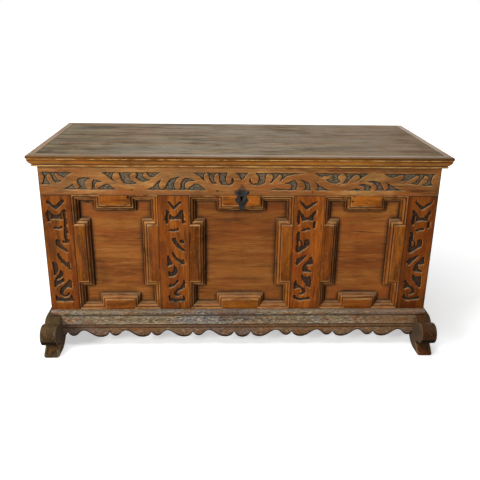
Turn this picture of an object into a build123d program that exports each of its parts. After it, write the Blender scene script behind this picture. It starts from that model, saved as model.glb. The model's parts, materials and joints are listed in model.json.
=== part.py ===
from build123d import *
import os

os.makedirs("parts", exist_ok=True)

# A joined oak chest on two sledge feet, in millimetres.
# X runs along the chest, -Y is its front, +Z is up.
# The origin is on the floor, under the middle of the chest's box.

# Lid
lid_width = 1400.0
lid_depth = 617.0
lid_top = 707.0
lid_board_thickness = 24.0
lid_board_count = 3
lid_front_overhang = 28.0
lid_side_overhang = 28.0
lid_back_overhang = 14.0
lip_gap = 1.0
lid_gap = 0.3
board_joint = 0.3
lip_drop = 16.0
edge_nose_height = 11.0
edge_round = 6.0
edge_chamfer = 1.0
edge_quirk = 2.5
edge_bead = 7.0
edge_ovolo_bulge = 3.0
edge_foot_width = 11.0
batten_width = 60.0
batten_thickness = 20.0
batten_inset = 67.0
batten_end_gap = 16.0

# Case
post_thickness = 45.0
stile_width = 101.5
back_stile_width = 90.0
front_thickness = 34.0
side_thickness = 30.0
back_thickness = 30.0
top_rail_height = 115.5
bottom_rail_height = 60.0
side_bottom_rail_height = 90.0
back_top_rail_height = 110.0
back_bottom_rail_height = 90.0
muntin_width = 106.0
muntin_offset = 231.0
side_muntin_width = 90.0
back_muntin_width = 90.0

# Panels, the mouldings on them and the blocks that the mouldings step round
panel_thickness = 12.0
sunk_depth = 20.0
groove_depth = 8.0
groove_end_gap = 0.5
groove_fit = 0.2
bevel_width = 38.0
bevel_depth = 7.0
block_height = 34.0
side_block_width = 33.0
side_block_length = 205.0
narrow_block_length = 98.0
wide_block_length = 124.0
moulding_width = 24.0
outer_bead = 6.0
outer_bead_drop = 4.5
inner_bead = 5.0
inner_bead_rise = 8.0
moulding_quirk = 1.5
moulding_lip = 1.5
bead_bulge = 2.4
ovolo_bulge = 1.5
mitre_gap = 0.2

# Tenons and pegs
tenon_thickness = 12.0
tenon_setback = 7.0
tenon_length = 30.0
tenon_shoulder = 20.0
tenon_fit = 0.2
tenon_end_gap = 1.0
peg_radius = 4.0
peg_fit = 0.1
peg_length = 30.0
peg_proud = 1.0
peg_inset = 14.0
peg_spacing = 30.0

# Base: feet, bead and apron
base_level = 125.0
foot_thickness = 54.0
foot_inset = 36.0
roll_reach = 116.0
roll_radius = 36.5
roll_drop = 40.0
roll_notch_reach = 50.0
notch_step = 4.0
cheek_reach = 16.0
cheek_bulge = 3.0
neck_hollow = 3.0
toe_reach = 92.0
toe_height = 10.0
neck_reach = 60.0
neck_level = 34.0
front_pad_back = 38.0
rear_pad_length = 75.0
arch_height = 40.0
arch_run = 105.0
bead_height = 18.0
bead_depth = 20.0
band_depth = 20.0
band_height = 33.0
scallop_depth = 12.0
cove_height = 17.0
cove_fillet = 2.0
cove_hollow = 1.0
apron_end_gap = 0.2
scallop_pitch = 150.0
scallop_shift = 10.0
centre_lobe_half = 30.0
cusp_drop = 69.0
arch_drop = 63.0
large_lobe_drop = 88.0
small_lobe_drop = 82.5
centre_lobe_drop = 92.0
large_lobe_at = 40.0
arch_at = 90.0
small_lobe_at = 128.0

# Floor
floor_thickness = 18.0
floor_board_count = 6
floor_tongue = 10.0
floor_fit = 0.2
floor_notch_gap = 0.5
cleat_width = 40.0
cleat_height = 30.0

# Hinges
hinge_offset = 380.0
strap_width = 40.0
strap_end_width = 24.0
strap_length = 400.0
strap_thickness = 3.0
strap_leaf_radius = 21.0
strap_nail_count = 4
strap_nail_start = 55.0
strap_nail_end = 35.0
strap_notch_gap = 1.0
strap_notch_clearance = 0.7
case_leaf_length = 92.0
leaf_nail_start = 26.0
leaf_nail_spacing = 24.0
leaf_nail_count = 3
pin_radius = 3.0
pin_fit = 0.05
pin_proud = 1.5
knuckle_gap = 0.4
knuckle_width = 13.2
nail_radius = 5.5
nail_crown_radius = 3.0
nail_height = 2.5

# Lock
lock_half_width = 90.0
lock_height = 147.7
lock_top_gap = 7.0
lock_depth = 26.0
lock_wall = 3.0
bolt_thickness = 4.0
bolt_height = 14.0
bolt_length = 74.0
bolt_travel = 14.0
bolt_drop = 18.7
bolt_setback = 12.0
bolt_fit = 0.3
bolt_tail_width = 20.0
bolt_tail_gap = 2.0
bolt_tail_length = 75.0
guide_width = 6.0
guide_wall = 5.0
guide_inset = 6.0
guide_lead = 8.0
staple_thickness = 6.0
staple_width = 14.0
staple_wall = 6.0
staple_eye_gap = 2.0
staple_plate_length = 40.0
staple_plate_thickness = 3.0
staple_slot_gap = 3.0
bolt_head_gap = 3.0
keyhole_radius = 5.5
keyhole_drop = 7.2
keyhole_slot_width = 6.0
keyhole_slot_length = 15.0
escutcheon_thickness = 2.0
escutcheon_rise = 47.0
escutcheon_height = 91.0
escutcheon_half_width = 25.0
shoulder_half_width = 16.0
knob_radius = 7.0
knob_drop = 28.0
waist_half_width = 14.0
waist_drop = 40.0
lobe_half_width = 23.0
lobe_drop = 55.0
tail_drop = 67.0
neck_half_width = 7.0
bulb_radius = 8.5

# Worked out from the sizes above
case_width = lid_width - 2 * lid_side_overhang
case_depth = lid_depth - lid_front_overhang - lid_back_overhang
overall_depth = roll_reach + case_depth + lid_back_overhang
front = roll_reach - overall_depth / 2
back = front + case_depth
side = case_width / 2
lid_underside = lid_top - lid_board_thickness
case_top = lid_underside - lid_gap
front_rail_low = case_top - top_rail_height
front_opening_low = base_level + bead_height
bottom_rail_low = front_opening_low - bottom_rail_height
stile_inner = side - stile_width
back_stile_inner = side - back_stile_width
foot_inner = side - foot_inset
foot_outer = foot_inner + foot_thickness
side_inner = side - side_thickness
side_rail_top = base_level + side_bottom_rail_height
back_rail_low = case_top - back_top_rail_height
back_rail_top = bottom_rail_low + back_bottom_rail_height
front_inside = front + front_thickness
back_inside = back - back_thickness
post_front = front + post_thickness
post_back = back - post_thickness
floor_low = base_level - floor_thickness
keyhole_level = front_rail_low - keyhole_drop
sides = (("left", -1), ("right", 1))


def box_of(x_ends, y_ends, z_ends):
    """A box as its lowest and highest corner, whichever way the ends run."""
    ends = [sorted(pair) for pair in (x_ends, y_ends, z_ends)]
    return tuple(e[0] for e in ends), tuple(e[1] for e in ends)


def grown(box, x_gap, y_gap, z_gap):
    """The box with a clearance on every face."""
    low, high = box
    gaps = (x_gap, y_gap, z_gap)
    return tuple(a - g for a, g in zip(low, gaps)), tuple(b + g for b, g in zip(high, gaps))


def block(box, mode=Mode.ADD):
    """A box between two corners, added to or cut from the open part."""
    low, high = box
    with Locations(tuple((a + b) / 2 for a, b in zip(low, high))):
        Box(*(b - a for a, b in zip(low, high)), mode=mode)


def member(solids, cuts=()):
    """A piece of timber made of boxes, with grooves and mortises cut away."""
    with BuildPart() as timber:
        for solid in solids:
            block(solid)
        for cut in cuts:
            block(cut, Mode.SUBTRACT)
    return timber


def export(piece, label):
    """Label a finished piece and write it as one node."""
    piece.part.label = label
    export_step(piece.part, f"parts/{label}.step")


def group(pieces):
    """Several separate solids that share one node."""
    with BuildPart() as together:
        for piece in pieces:
            add(piece.part)
    return together


# Panels. Each is a box that reaches into the grooves of the members round it.


def panel_box(x_ends, y_ends, z_ends, flat_axis):
    """A panel that fills an opening and reaches into grooves round it."""
    reach = groove_depth - groove_end_gap
    box = box_of(x_ends, y_ends, z_ends)
    if flat_axis == "y":
        return grown(box, reach, 0, reach)
    return grown(box, 0, reach, reach)


def groove_box(panel, flat_axis):
    """The room that a panel takes in the members round it."""
    if flat_axis == "y":
        return grown(panel, groove_end_gap, groove_fit, groove_end_gap)
    return grown(panel, groove_fit, groove_end_gap, groove_end_gap)


front_openings = {
    "left": (-stile_inner, -muntin_offset - muntin_width / 2),
    "centre": (-muntin_offset + muntin_width / 2, muntin_offset - muntin_width / 2),
    "right": (muntin_offset + muntin_width / 2, stile_inner),
}
front_panel_depth = (front + sunk_depth, front + sunk_depth + panel_thickness)
front_panels = {
    name: panel_box(ends, front_panel_depth, (front_opening_low, front_rail_low), "y")
    for name, ends in front_openings.items()
}
front_grooves = [groove_box(panel, "y") for panel in front_panels.values()]

back_half = back_muntin_width / 2
back_panel_depth = (back_inside + tenon_setback, back_inside + tenon_setback + panel_thickness)
back_panels = [
    panel_box((sign * back_half, sign * back_stile_inner), back_panel_depth,
              (back_rail_top, back_rail_low), "y")
    for _, sign in sides
]
back_grooves = [groove_box(panel, "y") for panel in back_panels]

side_middle = (front + back) / 2
side_half = side_muntin_width / 2
side_panel_inner = side_inner + tenon_setback


def side_panel_boxes(sign):
    """The two panels of one side, front one first."""
    x_ends = (sign * side_panel_inner, sign * (side_panel_inner + panel_thickness))
    z_ends = (side_rail_top, front_rail_low)
    return [
        panel_box(x_ends, (post_front, side_middle - side_half), z_ends, "x"),
        panel_box(x_ends, (side_middle + side_half, post_back), z_ends, "x"),
    ]


# Joints. Each tenon is a box, and its mortise is the same box with clearance.

front_tenon_depth = (front + tenon_setback, front + tenon_setback + tenon_thickness)
back_tenon_depth = (back - tenon_setback - tenon_thickness, back - tenon_setback)


def side_tenon_span(sign):
    """The X span of the tenons in the frame of one side."""
    return sign * (side - tenon_setback - tenon_thickness), sign * (side - tenon_setback)


def stile_tenon(sign):
    return box_of((sign * (stile_inner + tenon_shoulder), sign * (side - tenon_shoulder)),
                  front_tenon_depth, (front_rail_low, front_rail_low + tenon_length))


def muntin_tenons(sign):
    half = muntin_width / 2 - tenon_shoulder
    x_ends = (sign * muntin_offset - half, sign * muntin_offset + half)
    return [
        box_of(x_ends, front_tenon_depth, (front_rail_low, front_rail_low + tenon_length)),
        box_of(x_ends, front_tenon_depth, (front_opening_low - tenon_length, front_opening_low)),
    ]


def bottom_rail_tenon(sign):
    return box_of((sign * stile_inner, sign * (stile_inner + tenon_length)), front_tenon_depth,
                  (bottom_rail_low + groove_depth, front_opening_low - 2 * groove_depth))


def side_rail_tenons(sign, rail):
    """Front and back tenon of the top or bottom rail of one side."""
    x_ends = side_tenon_span(sign)
    if rail == "top":
        z_ends = (front_rail_low + tenon_shoulder, case_top - tenon_shoulder)
        front_y = (front_inside - tenon_setback - tenon_thickness, front_inside)
    else:
        z_ends = (base_level + tenon_shoulder / 2, side_rail_top - tenon_shoulder / 2)
        front_y = (post_front - tenon_length, post_front)
    return [box_of(x_ends, front_y, z_ends), box_of(x_ends, (post_back, post_back + tenon_length), z_ends)]


def side_muntin_tenons(sign):
    half = side_half - tenon_shoulder
    y_ends = (side_middle - half, side_middle + half)
    return [
        box_of(side_tenon_span(sign), y_ends, (front_rail_low, front_rail_low + tenon_length)),
        box_of(side_tenon_span(sign), y_ends, (side_rail_top - tenon_length, side_rail_top)),
    ]


def back_rail_tenon(sign, low, high):
    return box_of((sign * back_stile_inner, sign * (back_stile_inner + tenon_length)), back_tenon_depth,
                  (low + tenon_shoulder, high - tenon_shoulder))


def back_muntin_tenons():
    half = back_half - tenon_shoulder
    return [
        box_of((-half, half), back_tenon_depth, (back_rail_low, back_rail_low + tenon_length)),
        box_of((-half, half), back_tenon_depth, (back_rail_top - tenon_length, back_rail_top)),
    ]


def mortise(tenon, axis):
    """The pocket for a tenon: a close fit on its cheeks and room at its end."""
    gaps = [tenon_fit] * 3
    gaps["xyz".index(axis)] = tenon_end_gap
    return grown(tenon, *gaps)


# Floor boards lie from front to back in grooves of the bottom rails.

floor_half = foot_inner - board_joint
floor_board_width = 2 * floor_half / floor_board_count
floor_span = (front_inside - floor_tongue, back_inside + floor_tongue)
floor_groove = grown(box_of((-back_stile_inner, back_stile_inner), floor_span, (floor_low, base_level)),
                     tenon_end_gap, groove_end_gap, floor_fit)

# Hinge and lock places that cut into the timber

knuckle_radius = pin_radius + pin_fit + strap_thickness
hinge_y = back + knuckle_radius + knuckle_gap
hinge_z = lid_underside - knuckle_radius - knuckle_gap
strap_notch_low = lid_underside - strap_thickness - strap_notch_clearance


def strap_notch(sign):
    half = strap_width / 2 + strap_notch_gap
    return box_of((sign * hinge_offset - half, sign * hinge_offset + half),
                  (back_inside - strap_notch_gap, back + strap_notch_gap),
                  (strap_notch_low, case_top + strap_notch_gap))


def keyhole(y_start, y_end):
    """Cut the keyhole through the open part between two depths."""
    with BuildSketch(Plane.XZ.offset(-y_end)) as hole:
        with Locations((0, keyhole_level)):
            Circle(keyhole_radius)
        with Locations((0, keyhole_level - keyhole_slot_length / 2)):
            Rectangle(keyhole_slot_width, keyhole_slot_length)
    extrude(hole.sketch, amount=y_end - y_start, mode=Mode.SUBTRACT)


# Pegs through the joints of the sides and the back

peg_reach = peg_length - peg_proud


def side_peg_places(sign):
    """Where the pegs of one side enter: X, Y and Z on its outer face."""
    bottom_middle = (base_level + side_rail_top) / 2
    top_middle = (front_rail_low + case_top) / 2
    places = []
    for step in (-1, 1):
        lift = step * peg_spacing / 2
        places.append((sign * side, post_front - peg_inset, bottom_middle + lift))
        places.append((sign * side, post_back + peg_inset, bottom_middle + lift))
        places.append((sign * side, post_back + peg_inset, top_middle + lift))
    return places


def back_peg_places(sign):
    """Where the pegs of one back stile enter: X, Y and Z on the back face."""
    top_middle = (back_rail_low + case_top) / 2
    bottom_middle = (bottom_rail_low + back_rail_top) / 2
    return [(sign * (back_stile_inner + peg_inset), back, middle + step * peg_spacing / 2)
            for middle in (top_middle, bottom_middle) for step in (-1, 1)]


def peg_plane(place, outward):
    """A plane on the outer face, with its normal into the timber."""
    return Plane(origin=place, z_dir=tuple(-v for v in outward))


def peg_holes(places, outward):
    """Drill the peg holes in the open part."""
    for place in places:
        with BuildSketch(peg_plane(place, outward)) as hole:
            Circle(peg_radius + peg_fit)
        extrude(hole.sketch, amount=peg_reach + tenon_end_gap, mode=Mode.SUBTRACT)


def peg(place, outward):
    """One peg, standing a little proud of the face."""
    plane = peg_plane(place, outward)
    with BuildPart() as dowel:
        with BuildSketch(plane.offset(-peg_proud)):
            Circle(peg_radius)
        extrude(amount=peg_length)
    return dowel


# Front frame

front_top_rail = member(
    [box_of((-side, side), (front, front_inside), (front_rail_low, case_top))],
    front_grooves
    + [mortise(stile_tenon(sign), "z") for _, sign in sides]
    + [mortise(muntin_tenons(sign)[0], "z") for _, sign in sides]
    + [mortise(side_rail_tenons(sign, "top")[0], "y") for _, sign in sides],
)
export(front_top_rail, "front_top_rail")

front_bottom_rail = member(
    [box_of((-stile_inner, stile_inner), (front, front_inside), (bottom_rail_low, front_opening_low))]
    + [bottom_rail_tenon(sign) for _, sign in sides],
    front_grooves + [mortise(muntin_tenons(sign)[1], "z") for _, sign in sides] + [floor_groove],
)
export(front_bottom_rail, "front_bottom_rail")

for name, sign in sides:
    front_stile = member(
        [
            box_of((sign * stile_inner, sign * side), (front, post_front), (base_level, front_rail_low)),
            box_of((sign * stile_inner, sign * (foot_inner - board_joint)), (front, post_front),
                   (bottom_rail_low, base_level)),
            stile_tenon(sign),
        ],
        front_grooves
        + [mortise(bottom_rail_tenon(sign), "x"), mortise(side_rail_tenons(sign, "bottom")[0], "y"),
           groove_box(side_panel_boxes(sign)[0], "x")],
    )
    with front_stile:
        peg_holes(side_peg_places(sign), (sign, 0, 0))
    export(front_stile, f"front_{name}_stile")

    muntin = member(
        [box_of((sign * (muntin_offset - muntin_width / 2), sign * (muntin_offset + muntin_width / 2)),
                (front, front_inside), (front_opening_low, front_rail_low))] + muntin_tenons(sign),
        front_grooves,
    )
    export(muntin, f"front_{name}_muntin")

# Front panels, with their blocks and mouldings

block_lengths = {"left": narrow_block_length, "centre": wide_block_length, "right": narrow_block_length}

lip_x = moulding_width - moulding_lip
lip_y = sunk_depth - 2 * moulding_lip
inner_x = lip_x - inner_bead
inner_y = sunk_depth - inner_bead_rise
ovolo_x = outer_bead + moulding_quirk

with BuildSketch() as panel_profile:
    with BuildLine():
        Polyline((0, moulding_quirk), (0, sunk_depth), (moulding_width, sunk_depth),
                 (moulding_width, sunk_depth - moulding_lip), (lip_x, lip_y))
        SagittaArc((lip_x, lip_y), (inner_x, inner_y), bead_bulge)
        ovolo_top = (inner_x - moulding_quirk, inner_y + moulding_quirk)
        Polyline((inner_x, inner_y), (inner_x, inner_y + moulding_quirk), ovolo_top)
        SagittaArc(ovolo_top, (ovolo_x, outer_bead_drop), ovolo_bulge)
        Line((ovolo_x, outer_bead_drop), (outer_bead, outer_bead_drop))
        SagittaArc((outer_bead, outer_bead_drop), (0, moulding_quirk), bead_bulge)
    make_face()

edge_width = lid_front_overhang - lip_gap
edge_nose_low = lid_board_thickness - edge_nose_height
edge_throat = edge_width - edge_quirk

with BuildSketch() as lid_profile:
    with BuildLine():
        nose_top = (edge_width - edge_round, lid_board_thickness)
        nose_front = (edge_width, lid_board_thickness - edge_round)
        Polyline((edge_foot_width, -lip_drop), (0, -lip_drop), (0, lid_board_thickness), nose_top)
        RadiusArc(nose_top, nose_front, edge_round)
        ovolo_head = (edge_throat, edge_nose_low - edge_quirk)
        bead_head = (edge_foot_width, edge_bead - lip_drop)
        Polyline(nose_front, (edge_width, edge_nose_low + edge_chamfer), (edge_throat, edge_nose_low),
                 ovolo_head)
        SagittaArc(ovolo_head, bead_head, edge_ovolo_bulge)
        ThreePointArc(bead_head, (edge_foot_width + edge_bead / 2, edge_bead / 2 - lip_drop),
                      (edge_foot_width, -lip_drop))
    make_face()


def moulding_run(profile, width, start, end, normal, before=None, after=None):
    """One length of moulding, mitred towards the runs before and after it."""
    start, end, normal = Vector(start), Vector(end), Vector(normal)
    along = (end - start).normalized()
    origin = start - along * width if before else start
    length = (end - origin).length + (width if after else 0)
    with BuildPart() as run:
        with BuildSketch(Plane(origin=origin, x_dir=normal, z_dir=along)):
            add(profile.sketch)
        extrude(amount=length)
        if before:
            turn = (along + Vector(before)).normalized()
            split(bisect_by=Plane(origin=start + turn * mitre_gap / 2, z_dir=turn), keep=Keep.TOP)
        if after:
            turn = (along + Vector(after)).normalized()
            split(bisect_by=Plane(origin=end - turn * mitre_gap / 2, z_dir=turn * -1), keep=Keep.TOP)
    return run


def stepped_outline(x_ends, z_ends, length):
    """The opening of a front panel with a block in the middle of each side."""
    (x0, x1), (z0, z1) = x_ends, z_ends
    x_mid, z_mid = (x0 + x1) / 2, (z0 + z1) / 2
    half, tall = length / 2, side_block_length / 2
    return [
        (x0, z1), (x_mid - half, z1), (x_mid - half, z1 - block_height),
        (x_mid + half, z1 - block_height), (x_mid + half, z1),
        (x1, z1), (x1, z_mid + tall), (x1 - side_block_width, z_mid + tall),
        (x1 - side_block_width, z_mid - tall), (x1, z_mid - tall),
        (x1, z0), (x_mid + half, z0), (x_mid + half, z0 + block_height),
        (x_mid - half, z0 + block_height), (x_mid - half, z0),
        (x0, z0), (x0, z_mid - tall), (x0 + side_block_width, z_mid - tall),
        (x0 + side_block_width, z_mid + tall), (x0, z_mid + tall),
    ]


def panel_mouldings(outline):
    """The mitred lengths round a panel, in the order of its outline."""
    count = len(outline)
    points = [Vector(x, front, z) for x, z in outline]
    headings = [(points[(i + 1) % count] - points[i]).normalized() for i in range(count)]
    return group([
        moulding_run(panel_profile, moulding_width, points[i], points[(i + 1) % count],
                     (headings[i].Z, 0, -headings[i].X), headings[i - 1], headings[(i + 1) % count])
        for i in range(count)
    ])


for name, x_ends in front_openings.items():
    z_ends = (front_opening_low, front_rail_low)
    length = block_lengths[name]
    panel = member([front_panels[name]])
    x_mid, z_mid = sum(x_ends) / 2, sum(z_ends) / 2
    depth = (front, front + sunk_depth)
    x_span = (x_mid - length / 2, x_mid + length / 2)
    z_span = (z_mid - side_block_length / 2, z_mid + side_block_length / 2)
    blocks = member([
        box_of(x_span, depth, (z_ends[1] - block_height, z_ends[1])),
        box_of(x_span, depth, (z_ends[0], z_ends[0] + block_height)),
        box_of((x_ends[0], x_ends[0] + side_block_width), depth, z_span),
        box_of((x_ends[1] - side_block_width, x_ends[1]), depth, z_span),
    ])
    if name == "centre":
        with panel:
            keyhole(front, front_inside)
        with blocks:
            keyhole(front, front_inside)
    export(panel, f"front_{name}_panel")
    export(blocks, f"{name}_panel_blocks")
    export(panel_mouldings(stepped_outline(x_ends, z_ends, length)), f"{name}_panel_mouldings")


# Sides and back


def fielded_panel(box, outward):
    """A flat panel with a raised field on its outer face."""
    low, high = (Vector(*corner) for corner in box)
    middle = (low + high) * 0.5
    out = Vector(*outward)
    size = high - low
    width = size.Y if abs(out.X) else size.X
    across = (0, 1, 0) if abs(out.X) else (1, 0, 0)
    thickness = panel_thickness - bevel_depth
    inner = middle - out * (panel_thickness / 2)
    with BuildPart() as panel:
        with BuildSketch(Plane(origin=inner, x_dir=across, z_dir=out)):
            Rectangle(width, size.Z)
        extrude(amount=thickness)
        with BuildSketch(Plane(origin=inner + out * thickness, x_dir=across, z_dir=out)):
            Rectangle(width - 2 * groove_depth, size.Z - 2 * groove_depth)
        with BuildSketch(Plane(origin=inner + out * panel_thickness, x_dir=across, z_dir=out)):
            Rectangle(width - 2 * bevel_width, size.Z - 2 * bevel_width)
        loft()
    return panel


for name, sign in sides:
    x_ends = (sign * side_inner, sign * side)
    grooves = [groove_box(panel, "x") for panel in side_panel_boxes(sign)]
    side_top_rail = member(
        [box_of(x_ends, (front_inside, post_back), (front_rail_low, case_top))]
        + side_rail_tenons(sign, "top"),
        grooves + [mortise(side_muntin_tenons(sign)[0], "z")],
    )
    with side_top_rail:
        peg_holes(side_peg_places(sign), (sign, 0, 0))
    export(side_top_rail, f"{name}_side_top_rail")
    side_bottom_rail = member(
        [box_of(x_ends, (post_front, post_back), (base_level, side_rail_top))]
        + side_rail_tenons(sign, "bottom"),
        grooves + [mortise(side_muntin_tenons(sign)[1], "z")],
    )
    with side_bottom_rail:
        peg_holes(side_peg_places(sign), (sign, 0, 0))
    export(side_bottom_rail, f"{name}_side_bottom_rail")
    side_muntin = member(
        [box_of(x_ends, (side_middle - side_half, side_middle + side_half), (side_rail_top, front_rail_low))]
        + side_muntin_tenons(sign),
        grooves,
    )
    export(side_muntin, f"{name}_side_muntin")
    export(group([fielded_panel(box, (sign, 0, 0)) for box in side_panel_boxes(sign)]), f"{name}_side_panels")

    back_stile = member(
        [
            box_of((sign * back_stile_inner, sign * side), (post_back, back), (base_level, case_top)),
            box_of((sign * back_stile_inner, sign * (foot_inner - board_joint)), (post_back, back),
                   (bottom_rail_low, base_level)),
        ],
        back_grooves
        + [mortise(back_rail_tenon(sign, back_rail_low, case_top), "x"),
           mortise(back_rail_tenon(sign, bottom_rail_low, back_rail_top), "x"),
           mortise(side_rail_tenons(sign, "top")[1], "y"),
           mortise(side_rail_tenons(sign, "bottom")[1], "y"),
           groove_box(side_panel_boxes(sign)[1], "x")],
    )
    with back_stile:
        peg_holes(side_peg_places(sign), (sign, 0, 0))
        peg_holes(back_peg_places(sign), (0, 1, 0))
    export(back_stile, f"back_{name}_stile")

back_top_rail = member(
    [box_of((-back_stile_inner, back_stile_inner), (back_inside, back), (back_rail_low, case_top))]
    + [back_rail_tenon(sign, back_rail_low, case_top) for _, sign in sides],
    back_grooves + [mortise(back_muntin_tenons()[0], "z")] + [strap_notch(sign) for _, sign in sides],
)
with back_top_rail:
    for _, sign in sides:
        peg_holes(back_peg_places(sign), (0, 1, 0))
export(back_top_rail, "back_top_rail")

back_bottom_rail = member(
    [box_of((-back_stile_inner, back_stile_inner), (back_inside, back), (bottom_rail_low, back_rail_top))]
    + [back_rail_tenon(sign, bottom_rail_low, back_rail_top) for _, sign in sides],
    back_grooves + [mortise(back_muntin_tenons()[1], "z"), floor_groove],
)
with back_bottom_rail:
    for _, sign in sides:
        peg_holes(back_peg_places(sign), (0, 1, 0))
export(back_bottom_rail, "back_bottom_rail")

back_muntin = member(
    [box_of((-back_half, back_half), (back_inside, back), (back_rail_top, back_rail_low))]
    + back_muntin_tenons(),
    back_grooves,
)
export(back_muntin, "back_muntin")
export(group([fielded_panel(box, (0, 1, 0)) for box in back_panels]), "back_panels")

frame_pegs = group(
    [peg(place, (sign, 0, 0)) for _, sign in sides for place in side_peg_places(sign)]
    + [peg(place, (0, 1, 0)) for _, sign in sides for place in back_peg_places(sign)]
)
export(frame_pegs, "frame_pegs")

# Floor


def floor_board(index):
    """One floor board, cut back where it meets a post."""
    low = -floor_half + index * floor_board_width + board_joint / 2
    board = box_of((low, low + floor_board_width - board_joint), floor_span, (floor_low, base_level))
    wide = foot_inner + floor_notch_gap
    front_notch = (floor_span[0] - floor_notch_gap, post_front + floor_notch_gap)
    back_notch = (post_back - floor_notch_gap, floor_span[1] + floor_notch_gap)
    notches = ((stile_inner - floor_notch_gap, front_notch), (back_stile_inner - floor_notch_gap, back_notch))
    z_ends = (floor_low - floor_notch_gap, base_level + floor_notch_gap)
    cuts = [box_of((sign * inner, sign * wide), y_ends, z_ends)
            for _, sign in sides for inner, y_ends in notches]
    return member([board], cuts)


export(floor_board(0), "floor_left_board")
export(group([floor_board(i) for i in range(1, floor_board_count - 1)]), "floor_middle_boards")
export(floor_board(floor_board_count - 1), "floor_right_board")

floor_cleats = member([
    box_of((sign * (foot_inner - cleat_width), sign * foot_inner),
           (post_front + floor_notch_gap, post_back - floor_notch_gap), (floor_low - cleat_height, floor_low))
    for _, sign in sides
])
export(floor_cleats, "floor_cleats")

# Feet: boards on edge, with a roll over a toe at the front and an arch below


def foot(inner_x):
    """One foot, drawn from its side and made as thick as the board."""
    roll_y = front - roll_reach + roll_radius
    roll_level = base_level - roll_drop
    roll_bottom = roll_level - roll_radius
    notch_y = front - roll_notch_reach
    notch_level = roll_level + (roll_radius**2 - (notch_y - roll_y) ** 2) ** 0.5
    cheek_y = front - cheek_reach
    neck_y = front - neck_reach
    toe_y = front - toe_reach
    pad_y = front - front_pad_back
    arch_front = pad_y + arch_run
    rear_pad_y = back - rear_pad_length
    arch_rear = rear_pad_y - arch_run
    level_run = (-1, 0)
    with BuildPart() as board:
        with BuildSketch(Plane.YZ.offset(inner_x)):
            with BuildLine():
                Polyline((cheek_y, base_level), (back, base_level), (back, 0), (rear_pad_y, 0))
                Spline((rear_pad_y, 0), (arch_rear, arch_height), tangents=(level_run, level_run))
                Line((arch_rear, arch_height), (arch_front, arch_height))
                Spline((arch_front, arch_height), (pad_y, 0), tangents=(level_run, level_run))
                Polyline((pad_y, 0), (toe_y, 0), (toe_y, toe_height), (neck_y, neck_level))
                SagittaArc((neck_y, neck_level), (roll_y, roll_bottom), -neck_hollow)
                cheek_foot = (notch_y + notch_step, notch_level + notch_step / 2)
                Polyline((roll_y, roll_bottom), (notch_y, notch_level), cheek_foot)
                SagittaArc(cheek_foot, (cheek_y, base_level), cheek_bulge)
            make_face()
            with Locations((roll_y, roll_level)):
                Circle(roll_radius)
        extrude(amount=foot_thickness)
    return board


export(foot(-foot_outer), "left_foot")
export(foot(foot_inner), "right_foot")

# Plinth bead and apron

with BuildPart() as plinth_bead:
    with BuildSketch(Plane.YZ.offset(-side)):
        with BuildLine():
            shoulder = front - bead_depth + bead_height / 2
            Line((front, base_level), (front, front_opening_low))
            Line((front, front_opening_low), (shoulder, front_opening_low))
            ThreePointArc((shoulder, front_opening_low), (front - bead_depth, base_level + bead_height / 2),
                          (shoulder, base_level))
            Line((shoulder, base_level), (front, base_level))
        make_face()
    extrude(amount=case_width)
export(plinth_bead, "plinth_bead")

apron_half = foot_inner - apron_end_gap
scallop_count = int((apron_half + abs(scallop_shift) - centre_lobe_half) // scallop_pitch) + 1
last_cusp = centre_lobe_half + scallop_count * scallop_pitch


def scallop(start, sign):
    """One repeat: a large lobe, an arch and a small lobe between two cusps."""
    stops = ((0, cusp_drop), (large_lobe_at, large_lobe_drop), (arch_at, arch_drop),
             (small_lobe_at, small_lobe_drop), (scallop_pitch, cusp_drop))
    return [(scallop_shift + sign * (start + x), base_level - drop) for x, drop in stops]


# The scallops are drawn past both ends, then cut off where the feet stand
cusp_level = base_level - cusp_drop
outline_ends = (scallop_shift - last_cusp, scallop_shift + last_cusp)

with BuildPart() as apron:
    with BuildSketch(Plane.XZ.offset(-front)):
        with BuildLine():
            Line((outline_ends[0], base_level), (outline_ends[1], base_level))
            ThreePointArc((scallop_shift - centre_lobe_half, cusp_level),
                          (scallop_shift, base_level - centre_lobe_drop),
                          (scallop_shift + centre_lobe_half, cusp_level))
            for sign, end in zip((-1, 1), outline_ends):
                for i in range(scallop_count):
                    Spline(*scallop(centre_lobe_half + i * scallop_pitch, sign))
                Line((end, cusp_level), (end, base_level))
        make_face()
    extrude(amount=scallop_depth)
    block(box_of((-apron_half, apron_half), (front - scallop_depth, front), (0, base_level)), Mode.INTERSECT)
    band_low = base_level - band_height
    with BuildSketch(Plane.YZ.offset(-apron_half)):
        with BuildLine():
            face = front - band_depth
            cove_top = (face + cove_fillet, band_low - cove_fillet)
            cove_foot = (front - scallop_depth, band_low - cove_height)
            Polyline(cove_foot, (front, cove_foot[1]), (front, base_level), (face, base_level),
                     (face, band_low), (face + cove_fillet, band_low), cove_top)
            SagittaArc(cove_top, cove_foot, cove_hollow)
        make_face()
    extrude(amount=2 * apron_half)
export(apron, "apron")

# Lid

lid_front = front - lip_gap
lid_back = back + lid_back_overhang
lid_half = lid_width / 2 - (lid_side_overhang - lip_gap)
lid_board_width = (lid_back - lid_front) / lid_board_count

for index, name in enumerate(("front", "middle", "back")):
    low = lid_front + index * lid_board_width
    high = low + lid_board_width - (board_joint if index < lid_board_count - 1 else 0)
    lid_board = member([box_of((-lid_half, lid_half), (low, high), (lid_underside, lid_top))])
    export(lid_board, f"lid_{name}_board")

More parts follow.
